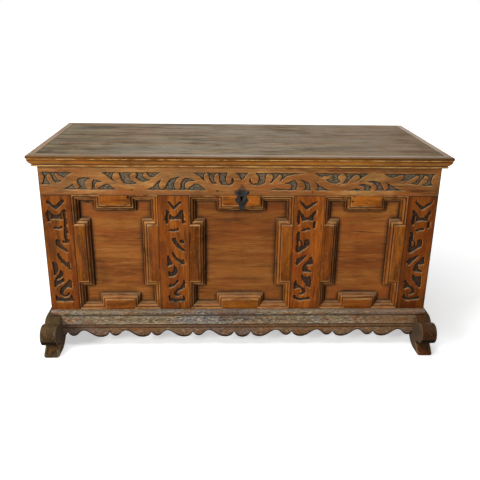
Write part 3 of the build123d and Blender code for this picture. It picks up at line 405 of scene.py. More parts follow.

# Colours as they show on a screen; "patches" are islands of another colour: its colour, islands to the
# metre along and across the grain, where they start and fill, how strong
# Each finish's dirt colour also paints shade where the cut attribute carries it
oaks = {
    "frame": {
        "dark": (62, 26, 2), "middle": (118, 60, 10), "pale": (154, 88, 22), "worn": (196, 138, 70),
        "dirt": (30, 20, 10), "dusty": (190, 160, 122), "stains": (84, 40, 12), "dust": 0.2, "stain": 0.4},
    "block": {
        "dark": (56, 24, 2), "middle": (114, 58, 9), "pale": (152, 88, 22), "worn": (204, 150, 90),
        "dirt": (24, 15, 7), "dusty": (140, 112, 86), "stains": (80, 34, 8), "streaks": 1.2, "wear": 0.85,
        "dust": 0.42, "rough": 0.5, "bump": 0.4,
        "patches": [((140, 72, 28), 7, 30, 0.48, 0.6, 0.6), ((72, 46, 20), 9, 50, 0.51, 0.62, 0.65),
                    ((186, 122, 58), 60, 260, 0.6, 0.69, 0.65)]},
    "carved": {
        "dark": (58, 25, 4), "middle": (113, 55, 11), "pale": (152, 86, 24), "worn": (182, 116, 52),
        "dirt": (20, 19, 15), "ground": (38, 40, 36), "dusty": (168, 146, 112), "stains": (84, 36, 8),
        "dust": 0.4, "rough": 0.52,
        "patches": [((146, 78, 22), 6, 30, 0.47, 0.6, 0.6), ((84, 48, 18), 9, 52, 0.5, 0.62, 0.7),
                    ((112, 46, 10), 5, 24, 0.5, 0.6, 0.5), ((184, 108, 40), 60, 240, 0.62, 0.7, 0.6)]},
    "rail": {
        "dark": (74, 42, 16), "middle": (130, 80, 38), "pale": (168, 117, 64), "worn": (200, 154, 98),
        "dirt": (20, 21, 18), "ground": (118, 111, 92), "dusty": (176, 158, 122), "stains": (98, 50, 18),
        "mottle": 0.75, "streaks": 1.0, "wear": 0.8, "stain": 0.45, "rough": 0.52, "shine": 0.1, "bump": 0.3,
        "patches": [((146, 82, 38), 3.2, 13, 0.47, 0.6, 0.6), ((108, 84, 52), 4, 22, 0.52, 0.64, 0.5),
                    ((186, 136, 76), 3.4, 16, 0.53, 0.66, 0.75), ((88, 56, 26), 30, 120, 0.58, 0.7, 0.6),
                    ((98, 66, 36), 12, 90, 0.52, 0.64, 0.5)]},
    "panel": {
        "dark": (58, 26, 4), "middle": (112, 60, 18), "pale": (144, 88, 34), "worn": (168, 108, 48),
        "dirt": (38, 27, 15), "dusty": (176, 140, 98), "stains": (84, 40, 12), "streaks": 1.3, "wear": 0.4,
        "stain": 0.4, "shine": 0.12, "bump": 0.4,
        "patches": [((132, 66, 24), 4, 22, 0.48, 0.62, 0.6), ((150, 98, 46), 6, 60, 0.56, 0.7, 0.55),
                    ((84, 52, 24), 5, 44, 0.56, 0.7, 0.6)]},
    "side": {
        "dark": (70, 36, 12), "middle": (112, 64, 26), "pale": (142, 90, 42), "worn": (166, 112, 56),
        "dirt": (32, 22, 12), "dusty": (170, 140, 102), "stains": (80, 40, 14), "wear": 0.6, "dust": 0.35,
        "shine": 0.12, "bump": 0.45,
        "patches": [((128, 70, 30), 3, 16, 0.5, 0.64, 0.6), ((92, 66, 40), 6, 40, 0.54, 0.7, 0.6)]},
    # The lid's top is greyed partly by weathering and partly by a painted sheen of the light from above; its
    # own shine is kept low
    "lidTop": {
        "dark": (46, 36, 25), "middle": (82, 69, 49), "pale": (118, 103, 77), "worn": (130, 92, 54),
        "dirt": (42, 33, 24), "ground": (98, 70, 38), "dusty": (114, 101, 80), "stains": (84, 54, 28),
        "streaks": 1.9, "wear": 0.8, "grime": 0.8, "dust": 0.1, "stain": 0.6, "blot": 1.4, "rough": 0.62,
        "shine": 0.037, "bump": 0.5, "marked": 0.8,
        "patches": [((46, 36, 26), 2.4, 18, 0.49, 0.59, 0.8), ((124, 82, 46), 3.4, 30, 0.52, 0.61, 0.65),
                    ((114, 110, 98), 3, 14, 0.49, 0.6, 0.55), ((164, 150, 126), 12, 200, 0.58, 0.67, 0.7),
                    ((40, 31, 22), 9, 70, 0.55, 0.64, 0.7)]},
    "lidEdge": {
        "dark": (62, 30, 4), "middle": (132, 76, 16), "pale": (174, 114, 38), "worn": (210, 166, 98),
        "dirt": (32, 22, 12), "dusty": (122, 104, 82), "stains": (88, 44, 14), "dust": 0.8, "stain": 0.4,
        "rough": 0.46, "shine": 0.1, "bump": 0.3, "marked": 0.9,
        "patches": [((152, 82, 20), 4, 40, 0.49, 0.6, 0.6), ((100, 76, 42), 7, 90, 0.53, 0.64, 0.7)]},
    "base": {
        "dark": (44, 30, 18), "middle": (88, 66, 42), "pale": (126, 108, 80), "worn": (172, 156, 126),
        "dirt": (30, 20, 12), "ground": (136, 88, 44), "dusty": (146, 132, 110), "stains": (84, 50, 24),
        "mottle": 0.5, "streaks": 1.6, "wear": 0.8, "dust": 0.25, "stain": 0.6, "blot": 2.0, "rough": 0.6,
        "shine": 0.14, "bump": 0.6,
        "patches": [((96, 97, 101), 3.4, 12, 0.48, 0.56, 0.85), ((134, 82, 38), 12, 40, 0.53, 0.61, 0.8),
                    ((120, 122, 128), 30, 150, 0.56, 0.66, 0.6), ((182, 166, 140), 70, 200, 0.52, 0.63, 0.85),
                    ((38, 27, 18), 80, 230, 0.51, 0.6, 0.85)]},
    "foot": {
        "dark": (20, 12, 4), "middle": (42, 27, 11), "pale": (72, 51, 25), "worn": (138, 118, 82),
        "dirt": (14, 10, 6), "dusty": (92, 78, 54), "stains": (46, 26, 10), "streaks": 1.3, "wear": 0.8,
        "blot": 2.2, "rough": 0.5, "shine": 0.05, "bump": 0.6,
        "patches": [((92, 62, 28), 7, 26, 0.52, 0.62, 0.75), ((116, 116, 106), 12, 40, 0.58, 0.68, 0.7),
                    ((18, 12, 7), 20, 60, 0.54, 0.66, 0.6)]},
    "inner": {
        "dark": (84, 58, 34), "middle": (118, 88, 56), "pale": (146, 114, 76), "worn": (160, 130, 92),
        "dirt": (60, 44, 28), "dusty": (150, 132, 104), "stains": (92, 64, 36), "wear": 0.4, "grime": 0.9,
        "rough": 0.7, "shine": 0.3, "bump": 0.4,
        "patches": [((96, 76, 54), 3, 16, 0.5, 0.66, 0.6), ((150, 124, 90), 6, 40, 0.56, 0.7, 0.5)]},
}
# The right foot is redder and darker than the left
oaks["rightFoot"] = {
    **oaks["foot"], "middle": (42, 22, 9), "pale": (66, 38, 18), "worn": (116, 88, 54), "dusty": (84, 62, 40),
    "patches": [((88, 46, 20), 7, 26, 0.5, 0.62, 0.8), ((92, 88, 78), 12, 40, 0.6, 0.7, 0.5),
                ((18, 12, 7), 20, 60, 0.54, 0.66, 0.6)]}

oakDetail = {"tones": (-2.0, 2.0, 0.4, 1.6), "islandStep": (3.7, 0.9, 0), "specks": (130, 190, 4.0),
             "specked": (0.36, 0.6, 0.55, 1.0), "flecks": (150, 240, 3.0), "flecked": (0.46, 0.6),
             "grimeRough": 0.22, "roughPatch": (0.3, 0.7), "roughSpread": 0.07, "relief": 0.0006}


def attribute(tree, name, output="Fac"):
    return put(tree, "ShaderNodeAttribute", attribute_name=name).outputs[output]


def islandColour(tree, grain, colour, rows):
    # Each kind of island is taken from another part of the pattern
    for number, (shade, length, width, start, full, amount) in enumerate(rows):
        shift = tuple(step * number for step in oakDetail["islandStep"])
        shifted = vectorMaths(tree, "ADD", {0: grain, 1: shift})
        mask = placed(tree, patches, {"Grain": shifted, "Length": length, "Width": width, "Start": start,
                                      "Full": full, "Amount": amount})["Mask"]
        colour = blended(tree, mask, colour, paint(*shade))
    return colour


def sunkColour(tree, grain, colour, ground, dirt, mottle):
    # The stippled ground between the leaves, or browner oak, where the piece's ground attribute says
    specks = ramp(tree, alongGrain(tree, grain, *oakDetail["specks"]), *oakDetail["specked"])
    sunk = maths(tree, "MULTIPLY", attribute(tree, "ground"), specks)
    soiled = ramp(tree, alongGrain(tree, grain, *oakDetail["flecks"]), *oakDetail["flecked"], 0.0, mottle)
    return blended(tree, sunk, colour, blended(tree, soiled, ground, dirt))


def makeOak(name):
    look = {**plainOak, **oaks[name]}
    shades = {title: paint(*value) for title, value in look.items() if isinstance(value, tuple)}
    material, tree, shader = newMaterial(name + "Oak")
    grain = attribute(tree, "grain", "Vector")
    figure = placed(tree, oakFigure, {"Grain": grain, "Dark": shades["dark"], "Middle": shades["middle"],
                                      "Pale": shades["pale"], "Streaks": look["streaks"]})
    amounts = {title: look[title.lower()] for title in ("Wear", "Grime", "Dust", "Stain", "Blot")}
    age = placed(tree, ageMasks, {"Grain": grain, "Edge": attribute(tree, "edge"),
                                  "Cut": attribute(tree, "cut"), **amounts})
    tone = mapped(tree, attribute(tree, "tone"), *oakDetail["tones"])
    colour = islandColour(tree, grain, figure["Color"], look["patches"])
    colour = put(tree, "ShaderNodeHueSaturation", {"Color": colour, "Value": tone}).outputs[0]
    colour = blended(tree, age["Stain"], colour, shades["stains"])
    # The worn colour: rubbed arrises, and on the mouldings' upward faces and level runs a painted highlight
    colour = blended(tree, age["Wear"], colour, shades["worn"])
    if "ground" in look:
        colour = sunkColour(tree, grain, colour, shades["ground"], shades["dirt"], look["mottle"])
    # The dirt colour: real grime, and painted shade wherever the cut attribute paints it
    colour = blended(tree, age["Grime"], colour, shades["dirt"])
    if name in marks:
        spots = maths(tree, "MULTIPLY", placed(tree, marks[name], {})["Mask"], look["marked"])
        colour = blended(tree, spots, colour, shades["dirt"])
    # Dust and a painted sheen on upward faces
    colour = blended(tree, age["Dust"], colour, shades["dusty"])
    least, most = look["rough"] - oakDetail["roughSpread"], look["rough"] + oakDetail["roughSpread"]
    rough = maths(tree, "ADD", maths(tree, "MULTIPLY", age["Grime"], oakDetail["grimeRough"]),
                  ramp(tree, age["Patch"], *oakDetail["roughPatch"], least, most))
    bump = put(tree, "ShaderNodeBump", {"Height": figure["Height"], "Strength": look["bump"],
                                        "Distance": oakDetail["relief"]})
    shader.inputs["Specular IOR Level"].default_value = look["shine"]
    tree.links.new(colour, shader.inputs["Base Color"])
    tree.links.new(rough, shader.inputs["Roughness"])
    tree.links.new(bump.outputs[0], shader.inputs["Normal"])
    return material


oak = {name: makeOak(name) for name in oaks}


irons = {
    "iron": {"dark": (30, 29, 28), "pale": (66, 62, 58), "rust": (84, 52, 32), "rough": 0.5, "metal": 0.85},
    "keyplate": {"dark": (15, 16, 17), "pale": (50, 51, 50), "rust": (66, 44, 28), "rough": 0.36,
                 "metal": 0.6, "crown": (104, 66, 38)},
    # The pale colour of the key pin and bead tacks is bright iron and partly a painted glint
    "pin": {"dark": (120, 112, 98), "pale": (196, 188, 172), "rust": (140, 104, 70), "rough": 0.35,
            "metal": 0.5},
}
ironDetail = {"cloud": (60.0, 5.0, 0.6), "clouded": (0.35, 0.65), "hammer": 130.0, "rust": (38.0, 6.0, 0.7),
              "rusted": (0.54, 0.68), "rustRough": 0.3, "rustMetal": 0.1, "dents": 2.0, "bump": 0.5,
              "relief": 0.0006, "crownFoot": 26, "crownFull": 14, "crownMost": 0.85}


def makeIron(name):
    look, detail = irons[name], ironDetail
    material, tree, shader = newMaterial(name + "Finish")
    place = put(tree, "ShaderNodeTexCoord").outputs["Object"]
    cloud = noise(tree, place, *detail["cloud"])
    beaten = put(tree, "ShaderNodeTexVoronoi", {"Vector": place, "Scale": detail["hammer"]},
                 feature="SMOOTH_F1")
    rusty = ramp(tree, noise(tree, place, *detail["rust"]), *detail["rusted"])
    colour = blended(tree, ramp(tree, cloud, *detail["clouded"]), paint(*look["dark"]), paint(*look["pale"]))
    colour = blended(tree, rusty, colour, paint(*look["rust"]))
    if "crown" in look:
        # The thin top of the plate has rusted to the colour of the oak
        top = high("escutcheon").z
        crown = ramp(tree, partsOf(tree, place)[2], top - detail["crownFoot"] * mm,
                     top - detail["crownFull"] * mm, 0.0, detail["crownMost"])
        colour = blended(tree, crown, colour, paint(*look["crown"]))
    rough = maths(tree, "ADD", maths(tree, "MULTIPLY", rusty, detail["rustRough"]), look["rough"])
    metal = ramp(tree, rusty, 0.0, 1.0, look["metal"], detail["rustMetal"])
    height = maths(tree, "ADD", maths(tree, "MULTIPLY", beaten.outputs["Distance"], detail["dents"]), cloud)
    bump = put(tree, "ShaderNodeBump", {"Height": height, "Strength": detail["bump"],
                                        "Distance": detail["relief"]})
    tree.links.new(colour, shader.inputs["Base Color"])
    tree.links.new(rough, shader.inputs["Roughness"])
    tree.links.new(metal, shader.inputs["Metallic"])
    tree.links.new(bump.outputs[0], shader.inputs["Normal"])
    return material


iron = {name: makeIron(name) for name in irons}
print("materials made")


# Timber: each piece is a welded copy of its solid with softened arrises and a grain of its own

grainWays = {          # 0 along the chest, 1 front to back, 2 upright; None takes the longest side
    "front_left_panel": 0, "front_centre_panel": 0, "front_right_panel": 0,
    "left_side_panels": 1, "right_side_panels": 1, "back_panels": 0,
    "lid_front_board": 0, "lid_middle_board": 0, "lid_back_board": 0,
}

toneOf = {             # members that are darker or lighter than their neighbours
    "front_left_stile": -0.5, "front_left_muntin": 0.3, "front_right_muntin": 0.9, "front_right_stile": -0.3,
    "right_panel_blocks": -0.15, "centre_panel_blocks": -0.4, "left_panel_blocks": -0.6,
    "front_right_panel": 0.6, "front_left_panel": -0.2, "front_centre_panel": -0.15, "right_foot": -0.35,
}

# How far each timber's place in the log, the lean of its grain and its tone may differ from the next
logSpread = {"along": (-9, 9), "across": (0.04, 0.3), "through": (0.02, 0.2), "lean": (-0.02, 0.02),
             "tone": (-0.35, 0.35)}

# Faces that look into the chest keep the colour of clean oak: the way they face, and where they lie
innerFaces = {
    "front": ((0, 1, 0), 1, -0.14), "back": ((0, -1, 0), 1, 0.24), "left": ((1, 0, 0), 0, -0.6),
    "right": ((-1, 0, 0), 0, 0.6), "lid": ((0, 0, -1), 2, 0.6),
}
innerReach = {"facing": 0.7, "half": 0.665}


def seedOf(name):
    return sum(ord(letter) * (place + 7) for place, letter in enumerate(name))


def welded(node):
    shape = bmesh.new()
    shape.from_mesh(frame["nodes"][node].data)
    bmesh.ops.remove_doubles(shape, verts=shape.verts, dist=weldGap)
    bmesh.ops.dissolve_limit(shape, angle_limit=math.radians(flatAngle), verts=shape.verts, edges=shape.edges)
    return shape


def cutPlane(shape, place, normal, near=weldGap, **settings):
    geometry = [*shape.verts, *shape.edges, *shape.faces]
    bmesh.ops.bisect_plane(shape, geom=geometry, dist=near, plane_co=place, plane_no=normal, **settings)


def sliced(shape, axis, levels, near=weldGap):
    normal = Vector([float(axis == other) for other in range(3)])
    for level in levels:
        cutPlane(shape, normal * level, normal, near)


def borderStrips(shape, width):
    # Cut a narrow strip along every side of the piece's box, where the wear fades out
    corners = [vert.co for vert in shape.verts]
    for axis in range(3):
        least = min(corner[axis] for corner in corners)
        most = max(corner[axis] for corner in corners)
        if most - least >= 4 * width:
            sliced(shape, axis, (least + width, most - width))


def softened(shape, width, angle=40):
    # Round the outward arrises and return the verts of the new narrow faces
    sharp = [edge for edge in shape.edges if edge.is_manifold and edge.is_convex
             and edge.calc_face_angle(0.0) > math.radians(angle) and edge.calc_length() > 3 * width]
    made = bmesh.ops.bevel(shape, geom=sharp, offset=width, offset_type="OFFSET", segments=2, profile=0.5,
                           affect="EDGES", clamp_overlap=False)
    return {vert for face in made["faces"] for vert in face.verts}


def newLayers(shape, *titles):
    return [shape.verts.layers.float.new(title) for title in titles]


def islands(shape):
    left = set(shape.verts)
    while left:
        island, front = [], [left.pop()]
        while front:
            vert = front.pop()
            island.append(vert)
            for edge in vert.link_edges:
                other = edge.other_vert(vert)
                if other in left:
                    left.discard(other)
                    front.append(other)
        yield island


def boxOf(island):
    least = Vector([min(v.co[axis] for v in island) for axis in range(3)])
    most = Vector([max(v.co[axis] for v in island) for axis in range(3)])
    return least, most


def grainAxes(island, way):
    sides = [max(v.co[axis] for v in island) - min(v.co[axis] for v in island) for axis in range(3)]
    along = sides.index(max(sides)) if way is None else way
    return along, (along + 1) % 3, (along + 2) % 3


# The timbers of a piece draw in turn from west to east, then from front to back and from the foot up; in
# these pieces the last two run the other way
drawnBackwards = {"front_top_rail", "front_left_stile", "front_right_stile", "left_panel_blocks",
                  "left_side_panels", "right_side_panels"}


def drawOrder(name):
    way = -1 if name in drawnBackwards else 1

    def placeOf(island):
        x, y, z = (round(c, 5) for c in boxOf(island)[0])
        return x, way * y, way * z

    return placeOf


def addGrain(shape, name, way=None):
    # Each separate timber gets its own place in the log and its own tone
    grain = shape.verts.layers.float_vector.new("grain")
    tone = shape.verts.layers.float.get("tone") or shape.verts.layers.float.new("tone")
    dice = random.Random(seedOf(name))
    for island in sorted(islands(shape), key=drawOrder(name)):
        along, across, through = grainAxes(island, way)
        shift = Vector([dice.uniform(*logSpread[title]) for title in ("along", "across", "through")])
        lean = dice.uniform(*logSpread["lean"])
        shade = dice.uniform(*logSpread["tone"]) + toneOf.get(name, 0.0)
        for vert in island:
            run = vert.co[along]
            vert[grain] = Vector((run, vert.co[across] + run * lean, vert.co[through])) + shift
            vert[tone] += shade


def paintInside(shape, node):
    # Gives the second material slot to the faces that look into the chest
    side = node.split("_")[0]
    if side not in innerFaces or node.endswith(("moulding", "mouldings", "blocks")):
        return False
    way, axis, level = innerFaces[side]
    for face in shape.faces:
        middle = face.calc_center_median()
        beyond = (middle[axis] - level) * (1 if way[axis] < 0 else -1)
        facing = face.normal.dot(Vector(way)) > innerReach["facing"]
        if facing and beyond > 0 and abs(middle.x) < innerReach["half"]:
            face.material_index = 1
    return True


def finishMesh(name, mesh, body, slot, material, replaced, second=None):
    mesh.shade_smooth()
    mesh.set_sharp_from_angle(angle=math.radians(sharpAngle))
    mesh.materials.append(material)
    if second:
        mesh.materials.append(second)
    piece = bpy.data.objects.new(name, mesh)
    bpy.context.scene.collection.objects.link(piece)
    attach(piece, body)
    if replaced:
        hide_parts(*replaced)


def finishPiece(prefix, node, shape, material):
    # The piece stands for its node, on that node's body
    mesh = bpy.data.meshes.new(prefix + node)
    shape.normal_update()
    inside = prefix in ("oak_", "carved_") and paintInside(shape, node)
    shape.to_mesh(mesh)
    shape.free()
    second = oak["inner"] if inside else None
    finishMesh(prefix + node, mesh, bodyOf[node], slotOf[node], material, [node], second)


# Panel openings, in millimetres: the heights and steps that they share, then west, east and length of block
opening = {"low": 143.0, "high": 567.2, "rise": 34.0, "side": 33.0, "sideLow": 252.6, "sideHigh": 457.6,
           "step": 7.0}
openings = {"left": (-570.5, -284.0, 98.0), "centre": (-178.0, 178.0, 124.0), "right": (284.0, 570.5, 98.0)}
panelOf = {"front_left_panel": "left", "front_centre_panel": "centre", "front_right_panel": "right"}
soilingAndShade = {"pitch": 5, "moulding": 24.0, "reach": 15.0, "most": 0.85, "fade": 1.5}


def steppedPath(west, east, length):
    # The outline of a panel's opening round its four filler blocks, in millimetres
    middle = (west + east) / 2
    a, b = middle - length / 2, middle + length / 2
    foot, head = opening["low"], opening["high"]
    lowBlock, highBlock = foot + opening["rise"], head - opening["rise"]
    sideLow, sideHigh = opening["sideLow"], opening["sideHigh"]
    inner, outer = east - opening["side"], west + opening["side"]
    return [(west, foot), (a, foot), (a, lowBlock), (b, lowBlock), (b, foot), (east, foot), (east, sideLow),
            (inner, sideLow), (inner, sideHigh), (east, sideHigh), (east, head), (b, head), (b, highBlock),
            (a, highBlock), (a, head), (west, head), (west, sideHigh), (outer, sideHigh), (outer, sideLow),
            (west, sideLow)]


def awayFrom(across, up, outline):
    # Distance from each point to a closed outline, all in the same unit
    start = np.array(outline, float)
    span = np.roll(start, -1, axis=0) - start
    length = np.maximum((span ** 2).sum(1), 1e-12)
    dx = across[:, None] - start[None, :, 0]
    dy = up[:, None] - start[None, :, 1]
    share = np.clip((dx * span[None, :, 0] + dy * span[None, :, 1]) / length[None, :], 0, 1)
    return np.hypot(dx - share * span[None, :, 0], dy - share * span[None, :, 1]).min(1)


def soilAndShadePanel(shape, cut, name):
    # Dirt that the duster leaves beside the moulding, and painted shadow of the moulding on the panel: darker
    # nearer to it
    pitch = soilingAndShade["pitch"] * mm
    west, east, length = openings[name]
    sliced(shape, 0, np.arange(west * mm, east * mm, pitch))
    sliced(shape, 2, np.arange(opening["low"] * mm, opening["high"] * mm, pitch))
    verts = list(shape.verts)
    away = awayFrom(np.array([v.co.x for v in verts]) / mm, np.array([v.co.z for v in verts]) / mm,
                    steppedPath(west, east, length))
    for vert, distance in zip(verts, away):
        near = float(np.clip(1 - (distance - soilingAndShade["moulding"]) / soilingAndShade["reach"], 0, 1))
        vert[cut] = soilingAndShade["most"] * near ** soilingAndShade["fade"]


# Where a finish turns browner to the right, in metres: where it starts, over what length, how much, and the
# cuts that carry it; on the lid the dirt of both ends lies in a strip, in millimetres
browning = {
    "lidTop": {"from": 0.05, "over": 0.55, "most": 0.65, "cuts": (-0.1, 0.1, 0.3, 0.5), "strip": 3,
               "dirty": 2},
    "base": {"from": 0.3, "over": 0.2, "most": 0.6, "cuts": (0.3, 0.5)},
}


def brownness(finish, x):
    look = browning[finish]
    return look["most"] * float(np.clip((x - look["from"]) / look["over"], 0, 1))


def brownTimber(shape, node, cut, finish):
    look = browning[finish]
    west, east = low(node).x, high(node).x
    cuts = look["cuts"]
    if "strip" in look:
        cuts = (west + look["strip"] * mm, *cuts, east - look["strip"] * mm)
    sliced(shape, 0, cuts)
    brown = newLayers(shape, "ground")[0]
    for vert in shape.verts:
        vert[brown] = brownness(finish, vert.co.x)
        if "dirty" in look:
            vert[cut] = 1.0 if abs(vert.co.x) > east - look["dirty"] * mm else 0.0


timber = {"arris": 0.8, "strip": 7, "blockTone": 1.0, "blockMargin": 5}


def makeTimber(node, finish):
    shape = welded(node)
    borderStrips(shape, timber["strip"] * mm)
    worn = softened(shape, timber["arris"] * mm)
    edge, cut = newLayers(shape, "edge", "cut")
    if node in panelOf:
        soilAndShadePanel(shape, cut, panelOf[node])
    if finish in browning:
        brownTimber(shape, node, cut, finish)
    tone = newLayers(shape, "tone")[0]
    topBlock = (opening["high"] - opening["rise"] - timber["blockMargin"]) * mm
    for vert in shape.verts:
        lifted = node.endswith("_blocks") and vert.co.z > topBlock
        vert[edge] = 1.0 if vert in worn else 0.0
        vert[tone] = timber["blockTone"] if lifted else 0.0
    addGrain(shape, node, grainWays.get(node))
    finishPiece("oak_", node, shape, oak[finish])


# Feet, in millimetres: how round their arrises are, and how far the toe reaches up and back
foot = {"round": 4.0, "toeRound": 9.0, "rings": (0.35, 1.1, 2.3, 4.0, 6.2, 9.0), "toeHigh": 35,
        "toeLong": 70, "toeFacing": -0.4, "downward": -0.3, "clear": 20, "rubbed": (0.2, 0.95), "edge": 0.75,
        "plain": 0.1, "paintedShadowUnder": 0.95, "dirtInside": 0.9, "toeTone": 1.3, "insideTone": -0.8}


def makeFoot(node):
    # A board on edge with its long arrises rubbed round: nearer to a face, the outline moves further in
    shape = welded(node)
    lo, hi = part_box(node)
    left = lo.x < 0
    rings = [ring * mm for ring in foot["rings"]]
    sliced(shape, 0, [lo.x + ring for ring in rings] + [hi.x - ring for ring in rings])
    edge, cut, tone = newLayers(shape, "edge", "cut", "tone")
    shape.normal_update()
    moves = {}
    for vert in shape.verts:
        around = [face.normal for face in vert.link_faces if abs(face.normal.x) < 0.5]
        if not around:
            continue
        outline = sum(around, Vector()).normalized()
        toe = vert.co.z < foot["toeHigh"] * mm and vert.co.y < lo.y + foot["toeLong"] * mm
        reach = foot["toeRound" if toe and outline.y < foot["toeFacing"] else "round"] * mm
        end = min(vert.co.x - lo.x, hi.x - vert.co.x) / reach
        if end < 1:
            moves[vert] = outline * reach * (1 - math.sqrt(1 - (1 - end) ** 2))
        least, most = foot["rubbed"]
        vert[edge] = foot["edge"] if least < max(0.0, 1 - end) < most else foot["plain"]
        # Downward faces below the roll are darkened as painted shadow
        under = outline.z < foot["downward"] and vert.co.z > foot["clear"] * mm
        vert[cut] = foot["paintedShadowUnder"] if under else foot["plain"]
        vert[tone] = foot["toeTone"] if toe else 0.0
        # The face turned towards the apron is darkened as painted shade
        fromInside = hi.x - vert.co.x if left else vert.co.x - lo.x
        if fromInside < mm:
            vert[cut] = foot["dirtInside"]
            vert[tone] += foot["insideTone"]
    for vert, move in moves.items():
        vert.co -= move
    addGrain(shape, node)
    finishPiece("oak_", node, shape, oak["foot" if left else "rightFoot"])


timbers = {
    "frame": ["front_bottom_rail"],
    "block": ["left_panel_blocks", "centre_panel_blocks", "right_panel_blocks"],
    "panel": ["front_left_panel", "front_centre_panel", "front_right_panel"],
    "side": [f"{side}_side_{part}" for side in ("left", "right")
             for part in ("top_rail", "bottom_rail", "muntin", "panels")]
    + [f"back_{part}" for part in ("left_stile", "right_stile", "top_rail", "bottom_rail", "muntin",
                                   "panels")],
    "lidTop": ["lid_front_board", "lid_middle_board", "lid_back_board"],
    "base": ["plinth_bead"],
    "inner": ["floor_left_board", "floor_middle_boards", "floor_right_board", "floor_cleats",
              "lid_left_batten", "lid_right_batten"],
}

for finish, nodes in timbers.items():
    for node in nodes:
        makeTimber(node, finish)
for node in ("left_foot", "right_foot"):
    makeFoot(node)
print("timbers made")


frontPlane = low("front_top_rail").y


# Geometry Nodes: each tree has named inputs, is run once and leaves a plain mesh

def newTree(name, inputs):
    tree = bpy.data.node_groups.new(name, "GeometryNodeTree")
    newSockets(tree, "INPUT", {"Geometry": "Geometry", **inputs, "Material": "Material"})
    newSockets(tree, "OUTPUT", {"Geometry": "Geometry"})
    return tree, put(tree, "NodeGroupInput").outputs


def closeTree(tree, geometry, material):
    real = put(tree, "GeometryNodeRealizeInstances", {"Geometry": geometry})
    dressed = put(tree, "GeometryNodeSetMaterial", {"Geometry": real.outputs[0], "Material": material})
    put(tree, "NodeGroupOutput", {"Geometry": dressed.outputs[0]})


def runTree(tree, seedMesh, values):
    holder = bpy.data.objects.new(tree.name + "Seed", seedMesh)
    bpy.context.scene.collection.objects.link(holder)
    modifier = holder.modifiers.new(tree.name, "NODES")
    modifier.node_group = tree
    inputs = {item.name: item.identifier for item in tree.interface.items_tree if item.in_out == "INPUT"}
    for title, value in values.items():
        modifier[inputs[title]] = value
    graph = bpy.context.evaluated_depsgraph_get()
    made = bpy.data.meshes.new_from_object(holder.evaluated_get(graph), depsgraph=graph)
    holder.modifiers.remove(modifier)
    bpy.data.objects.remove(holder)
    shape = bmesh.new()
    shape.from_mesh(made)
    bpy.data.meshes.remove(made)
    bmesh.ops.remove_doubles(shape, verts=shape.verts, dist=weldGap)
    bmesh.ops.dissolve_degenerate(shape, edges=shape.edges, dist=0.000001)
    bmesh.ops.holes_fill(shape, edges=[edge for edge in shape.edges if edge.is_boundary], sides=0)
    bmesh.ops.recalc_face_normals(shape, faces=shape.faces)
    shape.normal_update()
    return shape


def pointMesh(name, points, values, chain=False):
    # Points with float or vector attributes, joined in a row where they are a path
    mesh = bpy.data.meshes.new(name)
    links = [(i, i + 1) for i in range(len(points) - 1)] if chain else []
    mesh.from_pydata([tuple(point) for point in points], links, [])
    for title, numbers in values.items():
        vector = not isinstance(numbers[0], float)
        layer = mesh.attributes.new(title, "FLOAT_VECTOR" if vector else "FLOAT", "POINT")
        flat = [c for number in numbers for c in number] if vector else numbers
        layer.data.foreach_set("vector" if vector else "value", flat)
    return mesh


def enabledOutput(node):
    return next(socket for socket in node.outputs if socket.enabled)


def sampled(tree, geometry, title, index, kind="FLOAT"):
    if title == "position":
        field = put(tree, "GeometryNodeInputPosition").outputs[0]
    else:
        field = enabledOutput(put(tree, "GeometryNodeInputNamedAttribute", {"Name": title}, data_type=kind))
    return enabledOutput(put(tree, "GeometryNodeSampleIndex", {"Geometry": geometry, "Value": field,
                                                               "Index": index}, data_type=kind))


def gridOf(tree, path, section):
    # A sheet with one row of vertices per path point; gives the row and the column of each vertex
    rows = put(tree, "GeometryNodeAttributeDomainSize", {"Geometry": path}).outputs["Point Count"]
    columns = put(tree, "GeometryNodeAttributeDomainSize", {"Geometry": section}).outputs["Point Count"]
    sheet = put(tree, "GeometryNodeMeshGrid", {"Vertices X": rows, "Vertices Y": columns}).outputs["Mesh"]
    index = put(tree, "GeometryNodeInputIndex").outputs[0]
    row = maths(tree, "FLOOR", maths(tree, "DIVIDE", maths(tree, "ADD", index, 0.5), columns))
    column = maths(tree, "SUBTRACT", index, maths(tree, "MULTIPLY", row, columns))
    return sheet, row, column


def stored(tree, geometry, title, value, kind="FLOAT"):
    kept = {"Geometry": geometry, "Name": title, "Value": value}
    return put(tree, "GeometryNodeStoreNamedAttribute", kept, data_type=kind, domain="POINT").outputs[0]


def objectOf(tree, source):
    return put(tree, "GeometryNodeObjectInfo", {"Object": source}).outputs["Geometry"]


wavesPerMetre = 23.0


